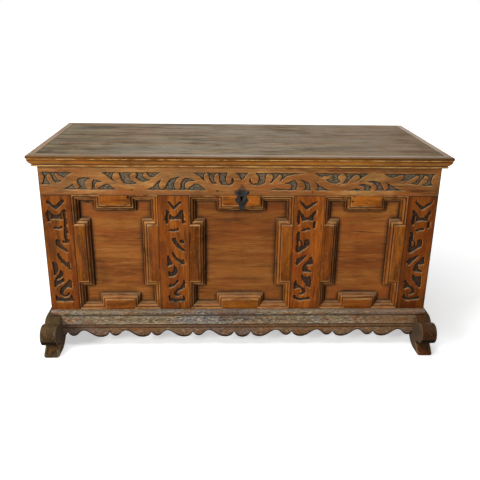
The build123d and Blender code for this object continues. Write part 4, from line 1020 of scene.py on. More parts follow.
def makeSweepTree():
    # Carries a section along a path with true mitres: it is laid along the mitre and to the rear
    tree, source = newTree("mitredSweep", {"Section": "Object", "Waver": 0.0, "Shift": 0.0,
                                           "Side Wear": 0.4})
    path, section = source["Geometry"], objectOf(tree, source["Section"])
    sheet, row, column = gridOf(tree, path, section)
    start = sampled(tree, path, "position", row, "FLOAT_VECTOR")
    mitre = sampled(tree, path, "mitre", row, "FLOAT_VECTOR")
    run = sampled(tree, path, "run", row)
    point = partsOf(tree, sampled(tree, section, "position", column, "FLOAT_VECTOR"))
    place = vectorOf(tree, {0: maths(tree, "MULTIPLY", run, wavesPerMetre), 1: source["Shift"]})
    sway = partsOf(tree, put(tree, "ShaderNodeTexNoise", {"Vector": place, "Scale": 1.0}).outputs["Color"])
    moved = [maths(tree, "MULTIPLY", maths(tree, "SUBTRACT", sway[axis], 0.5), source["Waver"])
             for axis in range(2)]
    across = maths(tree, "ADD", point[0], moved[0])
    depth = maths(tree, "ADD", point[1], moved[1])
    aside = vectorMaths(tree, "SCALE", {0: mitre, "Scale": across})
    place = vectorMaths(tree, "ADD", {0: start, 1: aside})
    place = vectorMaths(tree, "ADD", {0: place, 1: vectorOf(tree, {1: depth})})
    grain = vectorOf(tree, {0: maths(tree, "ADD", run, source["Shift"]), 1: across, 2: depth})
    # Upright runs keep less of the section's wear, so the level runs show wear and a painted highlight
    level = maths(tree, "ABSOLUTE", partsOf(tree, mitre)[2])
    share = mapped(tree, level, 0.0, 1.0, source["Side Wear"], 1.0)
    wear = maths(tree, "MULTIPLY", sampled(tree, section, "wear", column), share)
    shape = stored(tree, sheet, "grain", grain, "FLOAT_VECTOR")
    shape = stored(tree, shape, "cut", sampled(tree, section, "cut", column))
    shape = stored(tree, shape, "edge", wear)
    shape = put(tree, "GeometryNodeSetPosition", {"Geometry": shape, "Position": place}).outputs[0]
    closeTree(tree, shape, source["Material"])
    return tree


beating = {"turn": 6.28, "dents": 330.0, "rings": 3, "cap": 2}


def randomBetween(tree, least, most, seed):
    return put(tree, "FunctionNodeRandomValue", {"Min": least, "Max": most, "Seed": seed},
               data_type="FLOAT").outputs[1]


def makeStudTree():
    # Beaten heads or pegs standing on points, each turned and sized by a fixed seed
    tree, source = newTree("studs", {"Radius": 0.005, "Crown": 0.003, "Height": 0.0025, "Facets": 9,
                                     "Dent": 0.0, "Spread": 0.1, "Seed": 1})
    head = put(tree, "GeometryNodeMeshCone", {
        "Vertices": source["Facets"], "Side Segments": beating["rings"], "Fill Segments": beating["cap"],
        "Radius Top": source["Crown"], "Radius Bottom": source["Radius"],
        "Depth": source["Height"]}).outputs["Mesh"]
    facing = put(tree, "GeometryNodeInputNamedAttribute", {"Name": "facing"}, data_type="FLOAT_VECTOR")
    turned = put(tree, "FunctionNodeAlignRotationToVector", {"Vector": facing.outputs[0]},
                 axis="Z").outputs[0]
    spin = vectorOf(tree, {2: randomBetween(tree, 0.0, beating["turn"], source["Seed"])})
    twist = put(tree, "FunctionNodeEulerToRotation", {0: spin}).outputs[0]
    turned = put(tree, "FunctionNodeRotateRotation", {0: turned, 1: twist},
                 rotation_space="LOCAL").outputs[0]
    size = randomBetween(tree, maths(tree, "SUBTRACT", 1.0, source["Spread"]), 1.0, source["Seed"])
    heads = put(tree, "GeometryNodeInstanceOnPoints", {
        "Points": source["Geometry"], "Instance": head, "Rotation": turned,
        "Scale": vectorOf(tree, {0: size, 1: size, 2: 1.0})}).outputs[0]
    heads = put(tree, "GeometryNodeRealizeInstances", {"Geometry": heads}).outputs[0]
    place = put(tree, "GeometryNodeInputPosition").outputs[0]
    beaten = put(tree, "ShaderNodeTexNoise", {"Vector": place, "Scale": beating["dents"]}).outputs["Color"]
    beaten = vectorMaths(tree, "SUBTRACT", {0: beaten, 1: (0.5, 0.5, 0.5)})
    beaten = vectorMaths(tree, "SCALE", {0: beaten, "Scale": source["Dent"]})
    heads = put(tree, "GeometryNodeSetPosition", {"Geometry": heads, "Offset": beaten}).outputs[0]
    closeTree(tree, heads, source["Material"])
    return tree


sweepTree = makeSweepTree()
studTree = makeStudTree()


# Panel mouldings: one section swept round each stepped opening; the dirt lies in its quirks, upward faces
# get wear and a painted highlight, faces turned east a painted shade

mouldingSection = {     # across from the opening's edge and depth from the front, in millimetres, dirt, wear
    "bead": {"centre": (0, 4.5), "radii": (6, 3), "dirt": (0.75, 0.1, 1.0), "wear": (0.9, 0.9, 0.1)},
    "ovolo": {"centre": (7.5, 13.5), "radii": (8.5, 9), "dirt": (0.9, 0.1, 0.9), "wear": (0.3, 0.8, 0.0)},
    "foot": {"centre": (17.5, 17), "radii": (5, 5), "dirt": (0.45, 0.35, 0.8), "wear": (1.0, 0.6, 0.0)},
    "corners": [(17.5, 13.5, 1.0, 0.2), (24, 18.5, 1.0, 0.0), (24, 20, 1.0, 0.0), (0, 20, 0.0, 0.0)],
}
mouldingAgeAndLight = {"waver": 0.5, "seeds": 17, "sideWear": 0.35, "facing": 0.3, "topWearAndHighlight": 1.0, "ledgeWearAndHighlight": 0.3,
               "topMargin": 2, "paintedShade": 0.45, "paintedShadeTone": -0.6}


def curvedFace(part, count=7):
    (across, depth), (wide, tall) = part["centre"], part["radii"]
    points = []
    for i in range(count + 1):
        turn = math.pi / 2 * i / count
        dirt = np.interp(i, (0, 1, count - 1, count), (part["dirt"][0], part["dirt"][1], *part["dirt"][1:]))
        wear = np.interp(i, (0, 2, 4), part["wear"])
        points.append((across + wide * math.sin(turn), depth - tall * math.cos(turn), dirt, wear))
    return points


def sectionObject(points, titles, place):
    # A section as a row of points, with the attributes that follow its place in each row
    values = {title: [float(point[place + i]) for point in points] for i, title in enumerate(titles)}
    spots = [(point[0] * mm, point[1] * mm, point[2] if place > 2 else 0) for point in points]
    return bpy.data.objects.new("section", pointMesh("section", spots, values, True))


def pathMesh(corners, step):
    # Resampled closed path with the mitre of each point: a side's inward normal, or the corner's bisector
    points, mitres, runs, run = [], [], [], 0.0
    corners = [Vector(corner) for corner in corners]
    ends = corners[1:] + corners[:1]
    ways = [(end - start).normalized() for start, end in zip(corners, ends)]
    normals = [Vector((-way.y, way.x)) for way in ways]
    for i, (start, end) in enumerate(zip(corners, ends)):
        before, after = normals[i - 1], normals[i]
        length = (end - start).length
        steps = max(2, round(length / step))
        for j in range(steps):
            points.append(start.lerp(end, j / steps))
            mitres.append((before + after) / (1 + before.dot(after)) if j == 0 else after)
            runs.append(run + length * j / steps * mm)
        run += length * mm
    points.append(points[0])
    mitres.append(mitres[0])
    runs.append(run)
    return pointMesh("path", [(p.x * mm, frontPlane, p.y * mm) for p in points],
                     {"mitre": [(m.x, 0.0, m.y) for m in mitres], "run": runs}, True)


def makeMouldings(name, section):
    node = name + "_panel_mouldings"
    path = pathMesh(steppedPath(*openings[name]), opening["step"])
    shape = runTree(sweepTree, path, {
        "Section": section, "Waver": mouldingAgeAndLight["waver"] * mm, "Material": oak["block"],
        "Shift": float(seedOf(name) % mouldingAgeAndLight["seeds"]), "Side Wear": mouldingAgeAndLight["sideWear"]})
    edge, cut = shape.verts.layers.float["edge"], shape.verts.layers.float["cut"]
    tone = newLayers(shape, "tone")[0]
    top = (opening["sideHigh"] - mouldingAgeAndLight["topMargin"]) * mm
    for vert in shape.verts:
        # Upward faces are worn pale: wear, and a painted highlight, strongest on the side blocks' tops
        if vert.normal.z > mouldingAgeAndLight["facing"]:
            vert[edge] = mouldingAgeAndLight["topWearAndHighlight" if vert.co.z > top else "ledgeWearAndHighlight"]
        # Faces turned east, away from the key light, are darkened as painted shade
        if vert.normal.x > mouldingAgeAndLight["facing"]:
            vert[cut] = min(1.0, vert[cut] + mouldingAgeAndLight["paintedShade"])
            vert[tone] = mouldingAgeAndLight["paintedShadeTone"]
    finishPiece("oak_", node, shape, oak["block"])


sectionPoints = [*curvedFace(mouldingSection["bead"]), *curvedFace(mouldingSection["ovolo"]),
                 mouldingSection["corners"][0], *curvedFace(mouldingSection["foot"]),
                 *mouldingSection["corners"][1:]]
section = sectionObject(sectionPoints + sectionPoints[:1], ("cut", "wear"), 2)
for name in openings:
    makeMouldings(name, section)
bpy.data.objects.remove(section)
print("mouldings made")


# Nails and pegs, in millimetres

nailHead = {"radius": 5.4, "crown": 2.6, "height": 2.5, "facets": 9, "dent": 0.5, "seed": 7,
            "finish": iron["iron"]}
studs = {
    "case_nails": nailHead,
    "lid_nails": nailHead,
    "frame_pegs": {"radius": 3.9, "crown": 3.8, "height": 30.0, "facets": 8, "dent": 0.3, "seed": 7,
                   "finish": oak["side"], "wear": 0.4},
}
headSpread = 0.06


def standStuds(name, places, facings, look):
    sizes = {title: look[title.lower()] * mm for title in ("Radius", "Crown", "Height", "Dent")}
    return runTree(studTree, pointMesh(name, places, {"facing": facings}), {
        **sizes, "Facets": look["facets"], "Spread": headSpread, "Seed": look["seed"],
        "Material": look["finish"]})


def makeStuds(node):
    look = studs[node]
    shape = welded(node)
    places, facings = [], []
    for island in islands(shape):
        least, most = boxOf(island)
        middle, size = (least + most) / 2, most - least
        axis = min(range(3), key=lambda i: abs(size[i] - look["height"] * mm))
        facing = Vector((0, 0, 0))
        facing[axis] = math.copysign(1, middle[axis]) if axis < 2 else -1.0
        places.append(middle - facing * look["height"] * mm / 2)
        facings.append(tuple(facing))
    shape.free()
    order = sorted(range(len(places)), key=lambda i: tuple(round(c, 5) for c in places[i]))
    shape = standStuds(node, [places[i] for i in order], [facings[i] for i in order], look)
    if "wear" in look:
        edge = newLayers(shape, "edge", "cut")[0]
        for vert in shape.verts:
            vert[edge] = look["wear"]
        addGrain(shape, node)
    finishPiece("studs_", node, shape, look["finish"])


for name in studs:
    makeStuds(name)


# Small nails that have no solid of their own, (x, z) in millimetres, and the pin that a pipe key turns on
tacks = {
    "bead_tacks": {"points": [(-565, 139), (-316, 139)], "into": "plinth_bead", "radius": 2.6, "crown": 1.8,
                   "height": 1.0, "facets": 8, "dent": 0.0, "seed": 3, "finish": iron["pin"]},
    "key_pin": {"points": [(0, 560)], "into": "lock_case", "radius": 2.1, "crown": 1.8, "height": 33.0,
                "facets": 10, "dent": 0.0, "seed": 3, "finish": iron["pin"]},
}
tackSunk = 0.3


def makeTacks(name):
    look = tacks[name]
    target = welded(look["into"])
    hits = BVHTree.FromBMesh(target)
    target.free()
    places, facings = [], []
    for x, z in look["points"]:
        place, facing = hits.ray_cast(Vector((x * mm, -1, z * mm)), Vector((0, 1, 0)))[:2]
        facing = Vector((0, -1, 0)) if name == "key_pin" else facing
        places.append(place - facing * tackSunk * mm)
        facings.append(tuple(facing))
    shape = standStuds(name, places, facings, look)
    mesh = bpy.data.meshes.new(name)
    shape.to_mesh(mesh)
    shape.free()
    finishMesh("studs_" + name, mesh, "case", "iron", look["finish"], [])


for name in tacks:
    makeTacks(name)
print("nails and pegs made")


# Lid mouldings: dark nose, rubbed fillet, a dark line under it, clean ovolo and a rubbed bead below, with
# painted shadow on the bead's underside

lidBands = [           # height above the lid's underside in millimetres: cut, edge, tone
    (24.5, 0.1, 0.3, -0.5), (22.0, 0.25, 0.1, -1.3), (16.0, 0.4, 0.0, -1.5), (13.2, 0.3, 0.1, -0.6),
    (12.6, 0.0, 1.0, 0.5), (10.6, 0.0, 1.0, 0.5), (9.4, 0.75, 0.0, -0.2), (6.5, 0.2, 0.0, 0.1),
    (2.0, 0.0, 0.2, 0.6), (-5.0, 0.0, 0.2, 0.6), (-8.2, 0.3, 0.0, 0.0), (-9.2, 0.9, 0.0, -0.2),
    # The dark cut on the last row, the bead's underside, is painted shadow
    (-10.4, 0.1, 0.7, 0.5), (-14.0, 0.0, 0.9, 0.6), (-16.0, 0.6, 0.0, 0.0),
]
lidSeam = {"cuts": (1.5, 3.5), "dirty": 2}     # the joint between the boards and an end moulding


def makeLidMoulding(node):
    underside = low("lid_front_board").z
    shape = welded(node)
    sliced(shape, 2, [underside + band[0] * mm for band in lidBands], 2 * weldGap)
    lo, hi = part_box(node)
    seam = {"lid_left_moulding": hi.x, "lid_right_moulding": lo.x}.get(node)
    if seam is not None:
        outward = math.copysign(1, seam)
        sliced(shape, 0, [seam + outward * offset * mm for offset in lidSeam["cuts"]])
    levels, *columns = zip(*reversed(lidBands))
    layers = newLayers(shape, "cut", "edge", "tone")
    for vert in shape.verts:
        height = (vert.co.z - underside) / mm
        for layer, column in zip(layers, columns):
            vert[layer] = float(np.interp(height, levels, column))
        if seam is not None and vert.co.z > hi.z - mm:
            vert[layers[0]] = 1.0 if abs(vert.co.x - seam) < lidSeam["dirty"] * mm else 0.0
    addGrain(shape, node)
    finishPiece("oak_", node, shape, oak["lidEdge"])


for name in ("lid_front_moulding", "lid_left_moulding", "lid_right_moulding"):
    makeLidMoulding(name)
print("lid edges made")


# Apron: one section carried along the chest over the scallops of its foot

apronShape = {"pitch": 150.0, "middle": 30.0, "shift": 10.0, "step": 1.5, "top": 70.0,
              "brownLevels": (66, 78, 90, 93), "brown": (0.45, 0.8, 0.7, 0.0)}

# One scallop between two cusps, and half of the middle lobe: along the chest and height, in millimetres
scallop = [(0, 56), (5, 47.5), (12, 40.5), (22, 36.4), (33, 35.2), (44, 36.8), (55, 41.2), (66, 48.5),
           (76, 56), (84, 60.4), (91, 62.3), (98, 61.2), (105, 56.8), (112, 49.5), (119, 43.4), (127, 40.3),
           (135, 41), (142, 45.4), (147, 50.6), (150, 56)]
middleLobe = [(0, 33), (10, 34.6), (19, 39.5), (25, 46), (30, 56)]

# Section of the apron: distance behind the band's face, fixed height, share of the foot's height, then
# dirt, wear and tone; the dark tone on the downward cove and the dark dirt and tone along the scallops'
# lower edge and underside are painted shade, the dark in the grooves is dirt
apronSection = [
    (20, 125, 0, 0, 0, 0), (0, 125, 0, 0.5, 0, 0), (0, 122.5, 0, 0.1, 0.3, 0), (0, 108, 0, 0, 0, 0),
    (0, 94.5, 0, 0, 0.7, 0), (0.4, 92.8, 0, 0, 0.9, 0), (1.6, 92, 0, 0.6, 0.3, -0.4),
    (2.6, 90, 0, 0.95, 0, -0.7), (4.4, 86.8, 0, 0.4, 0, -0.5), (6.2, 83.6, 0, 0.1, 0, -0.3),
    (7.8, 79.6, 0, 0.15, 0, -0.4), (8, 75, 0, 0.7, 0.1, -0.7), (8, 73.5, 0, 0.95, 0, -0.8),
    (8, 70.5, 0.03, 0.1, 0.2, -0.3), (8, 42, 0.42, 0.1, 0, -0.4), (8, 16, 0.82, 0.25, 0, -0.2),
    (8, 8, 0.92, 1, 0, -1.2), (8, 1.8, 1, 0.95, 0, -1.2), (8.5, 0.5, 1, 1, 0.1, -1.2),
    (9.8, 0, 1, 0.6, 0.4, -0.8), (19, 0, 1, 0.7, 0, -1.2), (20, 0.8, 1, 0, 0, 0), (20, 125, 0, 0, 0, 0),
]


def curveNode(tree, value, points):
    # A drawn outline as a curve node: both axes run from 0 to 1
    node = put(tree, "ShaderNodeFloatCurve", {"Value": value})
    curve = node.mapping.curves[0]
    span, top = points[-1][0], apronShape["top"]
    while len(curve.points) < len(points):
        curve.points.new(0.5, 0.5)
    for handle, (along, height) in zip(curve.points, points):
        handle.location = (along / span, height / top)
        handle.handle_type = "VECTOR"
    node.mapping.update()
    return maths(tree, "MULTIPLY", node.outputs[0], top * mm)


def makeApronTree():
    # A band whose foot repeats one scallop: the rule gives the foot's height at each place along it
    tree, source = newTree("scallopedApron", {"Section": "Object", "Pitch": 0.15, "Middle": 0.03,
                                              "Shift": 0.0, "Front": 0.0})
    path, section = source["Geometry"], objectOf(tree, source["Section"])
    shape, row, column = gridOf(tree, path, section)
    x = partsOf(tree, sampled(tree, path, "position", row, "FLOAT_VECTOR"))[0]
    away = maths(tree, "ABSOLUTE", maths(tree, "SUBTRACT", x, source["Shift"]))
    beyond = maths(tree, "DIVIDE", maths(tree, "SUBTRACT", away, source["Middle"]), source["Pitch"])
    repeat = curveNode(tree, maths(tree, "FRACT", beyond), scallop)
    lobe = curveNode(tree, maths(tree, "DIVIDE", away, source["Middle"]), middleLobe)
    inMiddle = maths(tree, "LESS_THAN", beyond, 0.0)
    edge = put(tree, "ShaderNodeMix", {"Factor": inMiddle, "A": repeat, "B": lobe},
               data_type="FLOAT").outputs[0]
    point = partsOf(tree, sampled(tree, section, "position", column, "FLOAT_VECTOR"))
    height = maths(tree, "ADD", point[1], maths(tree, "MULTIPLY", point[2], edge))
    behind = maths(tree, "ADD", source["Front"], point[0])
    for title in ("cut", "edge", "tone"):
        shape = stored(tree, shape, title, sampled(tree, section, title, column))
    place = vectorOf(tree, {0: x, 1: behind, 2: height})
    shape = put(tree, "GeometryNodeSetPosition", {"Geometry": shape, "Position": place}).outputs[0]
    closeTree(tree, shape, source["Material"])
    return tree


def makeApron(node):
    lo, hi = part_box(node)
    section = sectionObject(apronSection, ("cut", "edge", "tone"), 3)
    step = apronShape["step"]
    half = round((hi.x / mm) / step) * step
    count = round(2 * half / step)
    places = [max(lo.x, min(hi.x, (-half + i * step) * mm)) for i in range(count + 1)]
    path = pointMesh("path", [(x, 0.0, 0.0) for x in places], {}, True)
    shape = runTree(makeApronTree(), path, {
        "Section": section, "Pitch": apronShape["pitch"] * mm, "Middle": apronShape["middle"] * mm,
        "Shift": apronShape["shift"] * mm, "Front": lo.y, "Material": oak["base"]})
    bpy.data.objects.remove(section)
    ground = newLayers(shape, "ground")[0]
    for vert in shape.verts:
        band = np.interp(vert.co.z / mm, apronShape["brownLevels"], apronShape["brown"])
        vert[ground] = max(brownness("base", vert.co.x), float(band))
    addGrain(shape, node)
    finishPiece("oak_", node, shape, oak["base"])


makeApron("apron")
print("apron made")


# Carving: a slab on the front of each carved member, cut away by pockets. Sizes in metres; a wave is its
# height and its turns to the metre
carving = {
    "slab": 6.5 * mm, "depth": 5.0 * mm, "wall": 2.2 * mm, "round": 2.6 * mm, "drop": 1.4 * mm,
    "pitch": 1.15 * mm, "rim": 1.2 * mm, "coarse": 6 * mm, "margin": 2 * mm, "dirtyRim": 2 * mm,
    "arris": 1.8 * mm, "corner": 70, "cornerShare": 0.3, "passes": 3,
    "wavesAcross": ((0.0006, 170), (0.0004, 410)), "wavesUp": ((0.0006, 190), (0.0004, 430)),
    "stipple": 0.00035, "stippleAcross": (900, 3, 700), "stippleUp": (1100, 2, 500), "floor": 0.9,
    "dirt": {"starts": 0.4, "clears": 2.2, "least": 0.25, "rim": 1.25},
}


def roundedOutline(points):
    # Corner cutting: gentle turns become curves, sharp corners stay nearly sharp
    ring = [Vector(point) for point in points]
    for step in range(carving["passes"]):
        cut = []
        for index, point in enumerate(ring):
            before, after = ring[index - 1], ring[(index + 1) % len(ring)]
            arriving, leaving = point - before, after - point
            turn = abs(arriving.angle_signed(leaving, 0.0))
            share = 0.25 if turn < math.radians(carving["corner"]) else 0.25 * carving["cornerShare"]
            cut.append(point - arriving * share)
            cut.append(point + leaving * share)
        ring = cut
    return np.array([tuple(point) for point in ring])


def depthInto(across, up, outline):
    # Distance from each grid point to the outline, positive inside
    away = awayFrom(across, up, outline)
    end = np.roll(outline, -1, axis=0)
    span = end - outline
    crosses = (outline[None, :, 1] > up[:, None]) != (end[None, :, 1] > up[:, None])
    rise = np.where(span[:, 1] == 0, 1e-12, span[:, 1])
    meet = outline[None, :, 0] + (up[:, None] - outline[None, :, 1]) / rise[None, :] * span[None, :, 0]
    inside = (crosses & (across[:, None] < meet)).sum(1) % 2 == 1
    return np.where(inside, away, -away)


def deepest(across, up, outlines):
    # The same to the nearest of several outlines, worked out only close to each
    margin = carving["round"] + carving["margin"]
    inside = np.full(across.shape, -1.0)
    for outline in outlines:
        least, most = outline.min(0) - margin, outline.max(0) + margin
        near = (across > least[0]) & (across < most[0]) & (up > least[1]) & (up < most[1])
        if near.any():
            inside[near] = np.maximum(inside[near], depthInto(across[near], up[near], outline))
    return inside


def gridLines(ends, fine):
    # Grid lines across a member: close in the carved strip, far apart beside it, three at each arris
    first, last = ends
    rim = carving["rim"]
    count = int(round((fine[1] - fine[0]) / carving["pitch"]))
    inner = [fine[0] + (fine[1] - fine[0]) * i / count for i in range(count + 1)]
    rims = [0.0, rim * 0.3, rim, rim * 2]
    lines = [first + r for r in rims] + inner + [last - r for r in rims]
    for a, b in ((first + rims[-1], fine[0]), (fine[1], last - rims[-1])):
        steps = max(1, int((b - a) / carving["coarse"]))
        lines += [a + (b - a) * i / steps for i in range(1, steps)]
    return np.array(sorted(set(round(line, 7) for line in lines)))


def wavered(along, other, waves, phases):
    # No hand-cut line runs quite true
    (tall, turns), (fine, fineTurns) = waves
    return along + tall * np.sin(other * turns + phases[0]) + fine * np.sin(other * fineTurns + phases[1])


def dented(along, other, waves):
    turns, bend, bends = waves
    return np.sin(along * turns + bend * np.sin(other * bends))


def slabDepth(x, z, nearest, rim):
    # How far behind the front each grid point lies: walls, rounded arrises, stippled ground, rounded rim
    into = np.clip(nearest / carving["wall"], 0, 1)
    into = into * into * (3 - 2 * into)
    beside = np.clip(1 + nearest / carving["round"], 0, 1)
    drop = carving["drop"]
    depth = np.where(nearest > 0, drop + (carving["depth"] - drop) * into, drop * beside ** 2)
    stipple = carving["stipple"] * dented(x, z, carving["stippleAcross"]) * dented(z, x, carving["stippleUp"])
    depth = depth + np.where(nearest > 0, stipple * into, 0)
    size = carving["rim"]
    rounded = size * (1 - np.sqrt(np.clip(1 - (1 - rim / size) ** 2, 0, 1)))
    return depth + np.where(rim < size, rounded, 0)


def slabMasks(nearest, rim):
    # Dirt in the corners of the pockets, wear on their arrises, and their sunk ground
    dirt, wall = carving["dirt"], carving["wall"]
    cut = np.clip(nearest / (dirt["starts"] * wall), 0, 1)
    cut = cut * np.clip(dirt["clears"] - nearest / wall, dirt["least"], 1)
    cut = np.maximum(cut, np.clip(dirt["rim"] - rim / carving["dirtyRim"], 0, 1))
    arris = np.clip(1 + nearest / carving["arris"], 0, 1) * (nearest <= 0)
    ground = np.clip(nearest / wall - carving["floor"], 0, 1)
    return {"cut": cut, "edge": np.clip(arris, 0, 1), "ground": ground}


def slabMesh(xs, zs, verts):
    # The carved sheet, closed behind by a plain box
    columns, rows, corner = len(xs), len(zs), len(verts)
    index = np.arange(columns * rows).reshape(columns, rows)
    quads = np.stack([index[:-1, :-1], index[1:, :-1], index[1:, 1:], index[:-1, 1:]], -1).reshape(-1, 4)
    backY = frontPlane + carving["slab"]
    rear = [(x, backY, z) for x, z in ((xs[0], zs[0]), (xs[-1], zs[0]), (xs[-1], zs[-1]), (xs[0], zs[-1]))]
    sides = [index[:, 0], index[-1, :], index[::-1, -1], index[0, ::-1]]
    skirts = [[corner + i, corner + (i + 1) % 4, *side[::-1]] for i, side in enumerate(sides)]
    skirts.append([corner + 3, corner + 2, corner + 1, corner])
    faces = quads.tolist() + [[int(i) for i in skirt] for skirt in skirts]
    mesh = bpy.data.meshes.new("slab")
    mesh.from_pydata(np.vstack([verts, rear]).tolist(), [], faces)
    return mesh


def carvedSlab(xEnds, zEnds, xFine, zFine, grounds, leaves, grow, seed):
    # The front of a member: grounds are cut away, grown by a margin, and leaves are left standing in them
    xs, zs = gridLines(xEnds, xFine), gridLines(zEnds, zFine)
    gridX, gridZ = np.meshgrid(xs, zs, indexing="ij")
    x, z = gridX.ravel(), gridZ.ravel()
    dice = np.random.RandomState(seed)
    phases = [dice.uniform(0, 6.28) for turn in range(4)]
    across = wavered(x, z, carving["wavesAcross"], phases[:2])
    up = wavered(z, x, carving["wavesUp"], phases[2:])
    nearest = np.minimum(deepest(across, up, grounds) + grow, -deepest(across, up, leaves))
    rim = np.minimum(np.minimum(x - xs[0], xs[-1] - x), np.minimum(z - zs[0], zs[-1] - z))
    depth = slabDepth(x, z, nearest, rim)
    mesh = slabMesh(xs, zs, np.stack([x, frontPlane + depth, z], 1))
    for title, values in slabMasks(nearest, rim).items():
        layer = mesh.attributes.new(title, "FLOAT", "POINT")
        layer.data.foreach_set("value", np.concatenate([values, np.zeros(4)]).astype(np.float32))
    return mesh


# How much darker an upright is at its foot, fading out over a height in millimetres
lowTone = {"front_right_stile": -1.0, "front_left_muntin": -0.5, "other": -0.25}
lowFade = {"from": 143, "over": 170}
slabBack = {"arris": 0.8, "wear": 0.6}


def joinSlab(node, slab, material, darker=0.0):
    # The member behind the slab keeps its tenons, grooves and mortises
    shape = welded(node)
    cutPlane(shape, Vector((0, frontPlane + carving["slab"], 0)), (0, 1, 0), clear_inner=True)
    rim = [edge for edge in shape.edges if edge.is_boundary]
    bmesh.ops.holes_fill(shape, edges=rim, sides=0)
    worn = softened(shape, slabBack["arris"] * mm)
    edge = newLayers(shape, "edge", "cut", "ground")[0]
    for vert in shape.verts:
        vert[edge] = slabBack["wear"] if vert in worn else 0.0
    shape.from_mesh(slab)
    bpy.data.meshes.remove(slab)
    tone = newLayers(shape, "tone")[0]
    for vert in shape.verts:
        vert[tone] = darker * float(np.clip(1 - (vert.co.z / mm - lowFade["from"]) / lowFade["over"], 0, 1))
    addGrain(shape, node)
    finishPiece("carved_", node, shape, material)


# The carved strip of the top rail, in millimetres: its ends, and how far the grid reaches past it
frieze = {"top": 646.5, "foot": 585.5, "end": 672.0, "below": 3, "above": 2, "grow": 0.5, "seed": 3}

